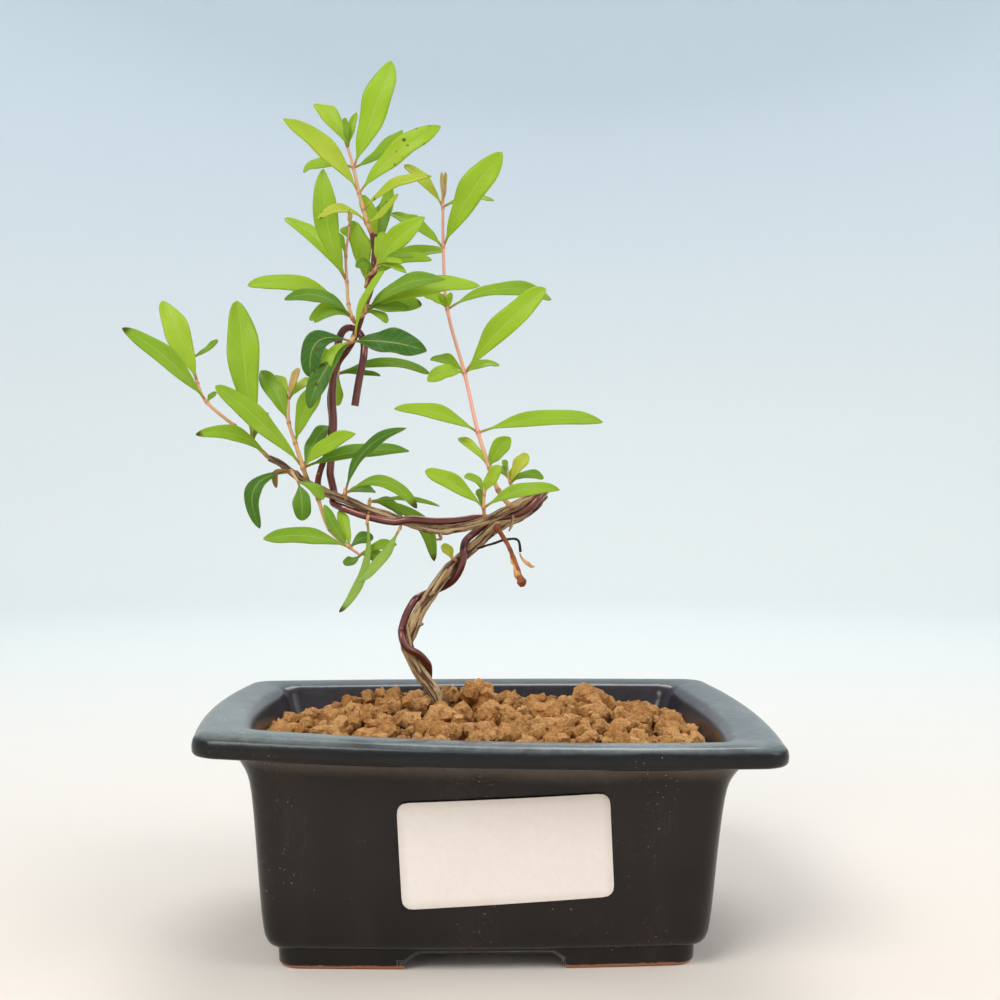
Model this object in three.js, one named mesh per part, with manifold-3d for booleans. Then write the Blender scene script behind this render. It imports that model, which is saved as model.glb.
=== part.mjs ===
// A young pomegranate trained as a bonsai, in its glazed pot.
// Units are millimetres, +Z is up, and the pot's front faces -Y.
// The base stands on z = 0 under the middle of the whole plant's width.

import * as THREE from 'three';
import { mergeVertices } from 'three/addons/utils/BufferGeometryUtils.js';
import Module from 'manifold-3d';

const wasm = await Module();
wasm.setup();

// ---------------------------------------------------------------- driving dimensions

const CLEARANCE = 0.3;              // gap between pieces that touch

const RIM_HALF_WIDTH = 67;          // pot, over its lip
const RIM_HALF_DEPTH = 52.3;
const FOOT_HEIGHT = 4.6;
const FOOT_NOTCH_HEIGHT = 4.3;      // of the openings between the feet
const FOOT_WIDTH = 9;               // of the ring that the feet are cut from
const FRONT_FOOT_GAP = 36;          // between the feet, seen from the front
const SIDE_FOOT_GAP = 28;
const FOOT_SHOULDER = 5.2;          // how far a notch narrows towards its top, each side
const FLOOR_TOP = 9.5;
const DRAIN_HOLE_RADIUS = 6;
const DRAIN_HOLE_X = 20;            // to each side of the middle

const SOIL_EDGE_HEIGHT = 46;
const GRAIN_RADIUS = 4.2;
const GRAIN_SHAPE = { base: 0.8, top: 0.5, half: 0.6, uneven: 0.3, tilt: 0.35 };  // shares of it
const GRAIN_SPACING = 12.6;

const MESH_SIDE = 22;               // square of plastic mesh over a drain hole
const MESH_BARS = 3;                // each way
const MESH_BAR = 1.4;
const MESH_THICKNESS = 0.8;

const WIRE_RADIUS = 1;
const WIRE_GAP = 0.5;              // between the wire and the bark it is wound on

const LABEL_WIDTH = 46.8;
const LABEL_HEIGHT = 23.2;
const LABEL_THICKNESS = 0.5;
const LABEL_CORNER = 1.2;
const LABEL_CENTRE = { x: 4, z: 27.5, tiltDeg: 3.4 };

const BLADE_THICKNESS = 0.6;
const FINE = 0.01;                  // tolerances when flat triangles are joined
const COARSE = 0.12;
const ROUGH = 0.9;
const PLANT_SHIFT_X = 9;            // of the pot's middle from the middle of the whole width

// ---------------------------------------------------------------- small helpers

const vec = (x, y, z) => new THREE.Vector3(x, y, z);
const UP = vec(0, 0, 1);
const TOWARDS_FRONT = vec(0, -1, 0);
const degrees = THREE.MathUtils.degToRad;

function makeRandom(seed) {
  let state = seed;
  return () => {
    state = (state * 1664525 + 1013904223) % 4294967296;
    return state / 4294967296;
  };
}

function geometryFrom(points, triangles) {
  const geometry = new THREE.BufferGeometry();
  const positions = points.flatMap((p) => [p.x, p.y, p.z]);
  geometry.setAttribute('position', new THREE.Float32BufferAttribute(positions, 3));
  geometry.setIndex(triangles.flat());
  return geometry;
}

function solid(geometry) {
  const bare = geometry.clone();
  bare.deleteAttribute('normal');
  bare.deleteAttribute('uv');
  const merged = mergeVertices(bare, 1e-4);
  const mesh = new wasm.Mesh({
    numProp: 3,
    vertProperties: new Float32Array(merged.attributes.position.array),
    triVerts: new Uint32Array(merged.index.array),
  });
  return new wasm.Manifold(mesh);
}

function geometryOf(manifold) {
  const mesh = manifold.getMesh();
  const geometry = new THREE.BufferGeometry();
  geometry.setAttribute('position', new THREE.BufferAttribute(mesh.vertProperties, 3));
  geometry.setIndex(new THREE.BufferAttribute(mesh.triVerts, 1));
  return geometry;
}

const joined = (solids) => solids.reduce((sum, next) => sum.add(next));

// A boolean can leave a loose scrap beside the body: the body alone is kept.
function largestBody(manifold) {
  return manifold.decompose().reduce((a, b) => (a.volume() > b.volume() ? a : b));
}

// Closed skin through rings of equally many points, each ring a flat list of vectors.
function loft(rings) {
  const count = rings[0].length;
  const points = rings.flat();
  const triangles = [];
  for (let level = 0; level + 1 < rings.length; level += 1) {
    for (let i = 0; i < count; i += 1) {
      const next = (i + 1) % count;
      const [a, b] = [level * count + i, level * count + next];
      const [c, d] = [a + count, b + count];
      triangles.push([a, b, d], [a, d, c]);
    }
  }
  const capAt = (level, flip) => {
    const middle = vec(0, 0, 0);
    rings[level].forEach((p) => middle.addScaledVector(p, 1 / count));
    points.push(middle);
    for (let i = 0; i < count; i += 1) {
      const [a, b] = [level * count + i, level * count + ((i + 1) % count)];
      triangles.push(flip ? [b, a, points.length - 1] : [a, b, points.length - 1]);
    }
  };
  capAt(0, true);
  capAt(rings.length - 1, false);
  return geometryFrom(points, triangles);
}

// Sections carried along a curve without twisting.
function sectionsAlong(curve, steps) {
  const sections = [];
  let side = null;
  for (let i = 0; i <= steps; i += 1) {
    const t = i / steps;
    const tangent = curve.getTangent(t);
    const front = (side ?? TOWARDS_FRONT).clone();
    front.addScaledVector(tangent, -front.dot(tangent)).normalize();
    side = front;
    const right = tangent.clone().cross(front);
    sections.push({ t, centre: curve.getPoint(t), tangent, front, right });
  }
  return sections;
}

// Tapered rod through control points [x, y, z, radius].
function rod(controls, { sides = 8, steps = 2 * controls.length, extra = 0 } = {}) {
  const curve = new THREE.CatmullRomCurve3(controls.map(([x, y, z]) => vec(x, y, z)));
  const radiusAt = (t) => {
    const place = t * (controls.length - 1);
    const low = Math.min(Math.floor(place), controls.length - 2);
    const share = place - low;
    return controls[low][3] * (1 - share) + controls[low + 1][3] * share + extra;
  };
  const rings = sectionsAlong(curve, steps).map(({ t, centre, tangent, front, right }) => {
    if (t === 0) centre.addScaledVector(tangent, -extra);
    if (t === 1) centre.addScaledVector(tangent, extra);
    const ring = [];
    for (let i = 0; i < sides; i += 1) {
      const turn = (2 * Math.PI * i) / sides;
      const radius = radiusAt(t);
      ring.push(centre.clone()
        .addScaledVector(front, radius * Math.cos(turn))
        .addScaledVector(right, radius * Math.sin(turn)));
    }
    return ring;
  });
  return loft(rings);
}

// ---------------------------------------------------------------- pot

const DEPTH_DIFFERENCE = RIM_HALF_WIDTH - RIM_HALF_DEPTH;
const RIM_BOW = { x: 4, y: 3 };     // how far the sides bulge at the lip

// The front left corner is out of true: it is drawn in, and its lip is raised.
const LIP_HEIGHT = 51.8;
const DRAWN_IN = {
  foot: { x: 1.2, y: 1, z: 0 },
  lip: { x: 2, y: 5.5, z: 2.8 },
};

function drawnIn(x, y, z, halfWidth, halfDepth) {
  const { foot, lip } = DRAWN_IN;
  const { lerp } = THREE.MathUtils;
  const share = ((1 - x / halfWidth) / 2) ** 2 * ((1 - y / halfDepth) / 2);
  const up = (z / LIP_HEIGHT) ** 2;
  return vec(x + share * lerp(foot.x, lip.x, up), y + share * lerp(foot.y, lip.y, up), z + share * lerp(foot.z, lip.z, up));
}

function potOutline({ halfWidth, z, bow = 0.7, corner = 4.8 }) {
  const halfDepth = halfWidth - DEPTH_DIFFERENCE;
  const bowX = RIM_BOW.x * bow;
  const bowY = RIM_BOW.y * bow;
  const endX = halfWidth - bowX - corner;
  const endY = halfDepth - bowY - corner;
  const sideX = (y) => halfWidth - bowX * (y / halfDepth) ** 2;
  const sideY = (x) => halfDepth - bowY * (x / halfWidth) ** 2;
  const quarter = [];
  const sideSteps = 2;
  const cornerSteps = 3;
  for (let i = 0; i < sideSteps; i += 1) {
    const y = (endY * i) / sideSteps;
    quarter.push([sideX(y), y]);
  }
  const centreX = sideX(endY) - corner;
  const centreY = sideY(endX) - corner;
  for (let i = 0; i <= cornerSteps; i += 1) {
    const turn = (Math.PI / 2) * (i / cornerSteps);
    quarter.push([centreX + corner * Math.cos(turn), centreY + corner * Math.sin(turn)]);
  }
  for (let i = 1; i < sideSteps; i += 1) {
    const x = endX * (1 - i / sideSteps);
    quarter.push([x, sideY(x)]);
  }
  const middle = [0, halfDepth];
  const half = [...quarter, middle, ...quarter.slice(1).reverse().map(([x, y]) => [-x, y])];
  const whole = [...half, [-halfWidth, 0], ...half.slice(1).reverse().map(([x, y]) => [x, -y])];
  return whole.map(([x, y]) => drawnIn(x, y, z, halfWidth, halfDepth));
}

const OUTER_WALL = [
  { z: 0, halfWidth: 47.6, bow: 0.5 },
  { z: 0.7, halfWidth: 48.3, bow: 0.5 },
  { z: FOOT_HEIGHT, halfWidth: 48.6, bow: 0.55 },
  { z: 5.4, halfWidth: 50.4, bow: 0.6 },
  { z: 9.6, halfWidth: 51.8, bow: 0.65 },
  { z: 40.2, halfWidth: 55.4, bow: 0.75 },
  { z: 43.8, halfWidth: 57, bow: 0.8 },
  { z: 46.2, halfWidth: 59, bow: 0.85 },
  { z: 47.2, halfWidth: 61.6, bow: 0.95 },
  { z: 47.4, halfWidth: 66.2, bow: 1, corner: 5.2 },
  { z: 48.2, halfWidth: RIM_HALF_WIDTH, bow: 1, corner: 5.2 },
  { z: 50.9, halfWidth: RIM_HALF_WIDTH, bow: 1, corner: 5.2 },
  { z: LIP_HEIGHT, halfWidth: 65.8, bow: 1, corner: 5.2 },
];
const LIP_TOP_INNER = { z: 51.4, halfWidth: 57.4, bow: 0.9 };
const INNER_WALL = [
  { z: FLOOR_TOP, halfWidth: 46, bow: 0.6 },
  { z: 12, halfWidth: 47.8, bow: 0.65 },
  { z: 36, halfWidth: 50.9, bow: 0.75 },
  { z: 42, halfWidth: 52.6, bow: 0.8 },
  { z: 47, halfWidth: 54.6, bow: 0.85 },
  { z: 50.2, halfWidth: 55.8, bow: 0.9 },
];

function block(width, depth, height, x, y, z) {
  const box = new THREE.BoxGeometry(width, depth, height);
  box.translate(x, y, z);
  return solid(box);
}

function standingCylinder(radius, low, high, x, sides) {
  const cylinder = new THREE.CylinderGeometry(radius, radius, high - low, sides);
  cylinder.rotateX(Math.PI / 2);
  cylinder.translate(x, 0, (low + high) / 2);
  return solid(cylinder);
}

function makePot() {
  const mouth = { ...LIP_TOP_INNER, z: LIP_HEIGHT + 2 };
  const outside = [...OUTER_WALL, LIP_TOP_INNER];
  const inside = [...INNER_WALL, LIP_TOP_INNER, mouth];
  const body = solid(loft(outside.map(potOutline)));
  const hollow = solid(loft(inside.map(potOutline)));
  const footInside = OUTER_WALL[1].halfWidth - FOOT_WIDTH;
  const draft = 1.2;
  const underside = [
    { z: -1, halfWidth: footInside, bow: 0.5 },
    { z: FOOT_HEIGHT, halfWidth: footInside - draft, bow: 0.5 },
  ];
  let pot = body
    .subtract(hollow)
    .subtract(solid(loft(underside.map(potOutline))))
    .subtract(solid(footNotch(FRONT_FOOT_GAP)))
    .subtract(solid(footNotch(SIDE_FOOT_GAP).rotateZ(Math.PI / 2)));
  for (const x of [-DRAIN_HOLE_X, DRAIN_HOLE_X]) {
    pot = pot.subtract(standingCylinder(DRAIN_HOLE_RADIUS, 0, FLOOR_TOP + 2, x, 14));
  }
  return pot.simplify(COARSE);
}

// Slot between two feet, right through the pot, with the slanting shoulders of a bracket foot.
function footNotch(gap) {
  const span = 4 * RIM_HALF_WIDTH;
  const toe = 0.3;
  const half = gap / 2;
  const top = half - FOOT_SHOULDER;
  const shape = new THREE.Shape();
  shape.moveTo(-half, -1);
  shape.lineTo(half, -1);
  shape.lineTo(half, toe);
  shape.quadraticCurveTo(top + FOOT_SHOULDER / 4, FOOT_NOTCH_HEIGHT, top, FOOT_NOTCH_HEIGHT);
  shape.lineTo(-top, FOOT_NOTCH_HEIGHT);
  shape.quadraticCurveTo(-top - FOOT_SHOULDER / 4, FOOT_NOTCH_HEIGHT, -half, toe);
  const notch = new THREE.ExtrudeGeometry(shape, { depth: span, bevelEnabled: false, curveSegments: 3 });
  notch.translate(0, 0, -span / 2);
  notch.rotateX(Math.PI / 2);
  return notch;
}

function makeDrainMesh(x) {
  const middle = FLOOR_TOP + CLEARANCE + MESH_THICKNESS / 2;
  const pitch = (MESH_SIDE - MESH_BAR) / (MESH_BARS - 1);
  const bars = [];
  for (let i = 0; i < MESH_BARS; i += 1) {
    const place = (MESH_BAR - MESH_SIDE) / 2 + i * pitch;
    bars.push(block(MESH_BAR, MESH_SIDE, MESH_THICKNESS, x + place, 0, middle));
    bars.push(block(MESH_SIDE, MESH_BAR, MESH_THICKNESS, x, place, middle));
  }
  return joined(bars).simplify(FINE);
}

// ---------------------------------------------------------------- wood

// Trunk, loop and branch: [x, y, z, radius], from the buried foot to the branch's end.
const TRUNK = [
  [-8.2, 3.5, 31, 2.1], [-8.6, 1.5, 39, 2], [-9.1, 0, 46, 1.9], [-9.6, 0, 51, 1.75],
  [-11.6, 0, 55.6, 1.6], [-15.2, 0.4, 60.7, 1.6], [-17.4, 0.4, 65, 1.5], [-18.4, 0, 68, 1.45],
  [-17.4, 0, 70.6, 1.5], [-16, 0, 74.5, 1.5], [-13.3, 0.5, 79, 1.45], [-9.1, 1, 85, 1.45],
  [-5.2, 1.8, 89, 1.4], [-2.2, 2.2, 91.5, 1.4], [3.8, 3, 96.7, 1.35], [9, 4, 99, 1.3],
  [12.7, 3.2, 101.4, 1.3], [14, 0.6, 103.5, 1.35], [12.4, -2.2, 104, 1.25], [9.6, -4, 102.7, 1.15],
  [6, -5, 100.8, 1.1], [0.8, -5.5, 98.2, 1.1], [-5.2, -5.5, 96.5, 1.1], [-11.7, -5, 96, 1.05],
  [-18.7, -4, 98, 1.05], [-23.3, -3.6, 99.6, 1], [-28, -3, 101, 1], [-33, -2.4, 103.2, 1],
  [-37.2, -2, 104.7, 1], [-40, -1.8, 106, 0.95], [-43, -1.5, 107.6, 0.95], [-46.2, -1.2, 109.8, 0.9],
  [-49, -1, 112, 0.85], [-51.8, -1, 113.4, 0.8],
];

// The leader springs from the branch and rises behind the wire.
const LEADER = [
  [-40, -1.8, 106, 0.7], [-40, -0.4, 108.2, 0.65], [-39.4, 0.9, 111, 0.6], [-37.8, 1.9, 116, 0.6],
  [-37, 2.2, 122, 0.6], [-37.4, 2.3, 128.5, 0.6], [-36.4, 2.3, 133.5, 0.6], [-35, 2.2, 137.3, 0.6],
  [-32.8, 1.3, 140, 0.6], [-31.2, -0.4, 142.7, 0.6], [-30.2, -1, 145.3, 0.6], [-29, -0.6, 149.2, 0.6],
  [-27.4, 0, 154.5, 0.6], [-26.4, 0, 160, 0.6], [-26, 0, 164.2, 0.6], [-26.5, 0, 168, 0.6],
];

// Short stubs, thorns and knots: where they start, and their tip.
const STUBS = [
  [[-17.4, 0, 70, 0.9], [-14.6, -0.8, 69.6, 0.55]],
  [[-13, 0.5, 79.6, 0.8], [-11.4, -2.2, 80.6, 0.5]],
  [[-10, -5, 96, 0.6], [-9.9, -5.8, 94.2, 0.45], [-11.2, -6, 93.4, 0.4]],
  [[13.5, -0.4, 103.8, 0.9], [13.8, -0.8, 106.2, 0.4]],
  [[-44, -1.4, 108.2, 0.7], [-45, -3, 110.2, 0.4]],
];

const ROOTS = [
  [[-8.3, 3, 35, 1.6], [-16, 6, 31, 1.3], [-25, 13, 27, 1], [-33, 16, 21, 0.6]],
  [[-8.3, 3, 35, 1.6], [-2, 8, 30, 1.2], [9, 14, 26, 0.9], [20, 17, 22, 0.6]],
  [[-8.3, 3, 35, 1.6], [-1, -3, 31, 1.3], [8, -12, 27, 1], [19, -15, 21, 0.6]],
  [[-8.3, 3, 35, 1.6], [-14, -5, 30, 1.2], [-22, -14, 25, 0.9], [-31, -16, 20, 0.6]],
];

function makeWood(extra = 0) {
  return joined([
    solid(rod(TRUNK, { sides: 7, steps: 38, extra })),
    solid(rod(LEADER, { sides: 5, steps: 16, extra })),
    ...STUBS.map((stub) => solid(rod(stub, { sides: 4, steps: stub.length - 1, extra }))),
    ...ROOTS.map((root) => solid(rod(root, { sides: 4, steps: 4, extra }))),
  ]);
}

// ---------------------------------------------------------------- wire

// The winding: [place along TRUNK, angle round the wood in degrees, 0 at the front].
const WINDING = [
  [1.4, 60], [3, 0], [3.8, -90], [4.5, -180], [5.2, -270], [7, -370], [7.8, -430], [8.6, -450],
  [9.6, -465], [10.4, -560], [11, -630], [12, -710], [12.6, -770], [13.3, -830], [14, -850],
  [15, -860], [16, -880], [17, -900], [18.5, -990], [20, -1080], [21.3, -1165], [22.2, -1185],
  [23, -1225], [23.6, -1260], [24.3, -1320], [25, -1345], [26, -1352], [27, -1380], [27.7, -1432],
];

// Where it has left the branch: up beside the leader, over its back, and down to the cut end.
const WIRE_FREE = [
  [-36.3, 0.9, 105], [-36.8, 0.7, 107.6], [-37.1, 0, 109.6], [-36.8, -0.8, 113], [-36.2, -1, 121.7],
  [-36.5, -1, 128.3], [-36.1, -1, 134.3], [-35.3, -1, 139.2], [-34.9, 0.2, 142.5], [-33.9, 1.9, 144.9],
  [-32.2, 3, 145.7], [-30.3, 2.6, 144.4], [-29, 1.2, 141.9], [-28.9, -0.3, 138.2], [-30, -0.8, 132.4],
  [-31, -1, 126.1],
];

function wireCurve(extra) {
  const controls = TRUNK.map(([x, y, z]) => vec(x, y, z));
  const curve = new THREE.CatmullRomCurve3(controls);
  const last = TRUNK.length - 1;
  const finest = 12;                // sections to each control point of the trunk
  const sections = sectionsAlong(curve, finest * last);
  const points = [];
  const every = 0.25;               // along the winding, in control points of the trunk
  for (let place = WINDING[0][0]; place <= WINDING.at(-1)[0] + 1e-6; place += every) {
    const next = WINDING.findIndex(([p]) => p >= place - 1e-6);
    const high = Math.max(next, 1);
    const [[p0, a0], [p1, a1]] = [WINDING[high - 1], WINDING[high]];
    const turn = degrees(a0 + ((a1 - a0) * (place - p0)) / (p1 - p0));
    const { centre, front, right } = sections[Math.round(place * finest)];
    const low = Math.min(Math.floor(place), last - 1);
    const share = place - low;
    const wood = TRUNK[low][3] * (1 - share) + TRUNK[low + 1][3] * share;
    const away = wood + WIRE_RADIUS + WIRE_GAP;
    points.push(centre.clone()
      .addScaledVector(front, away * Math.cos(turn))
      .addScaledVector(right, away * Math.sin(turn)));
  }
  points.push(...WIRE_FREE.map(([x, y, z]) => vec(x, y, z)));
  const beyond = (end, inner) => end.clone().add(end.clone().sub(inner).setLength(extra));
  if (extra > 0) {
    points.unshift(beyond(points[0], points[1]));
    points.push(beyond(points.at(-1), points.at(-2)));
  }
  return new THREE.CatmullRomCurve3(points);
}

function makeWire(extra = 0) {
  const section = new THREE.Shape();
  const sides = 6;
  for (let i = 0; i <= sides; i += 1) {
    const turn = (2 * Math.PI * i) / sides;
    const [x, y] = [Math.cos(turn), Math.sin(turn)].map((share) => share * (WIRE_RADIUS + extra));
    if (i === 0) section.moveTo(x, y);
    else section.lineTo(x, y);
  }
  return new THREE.ExtrudeGeometry(section, {
    extrudePath: wireCurve(extra), steps: 80, bevelEnabled: false, curveSegments: 1,
  });
}

// ---------------------------------------------------------------- leafy shoots

const at = (x, y, z, ...leaves) => ({ place: vec(x, y, z), leaves });
const leaf = (x, y, z, width, arch, face) => ({ tip: vec(x, y, z), width, arch, face });

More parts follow.
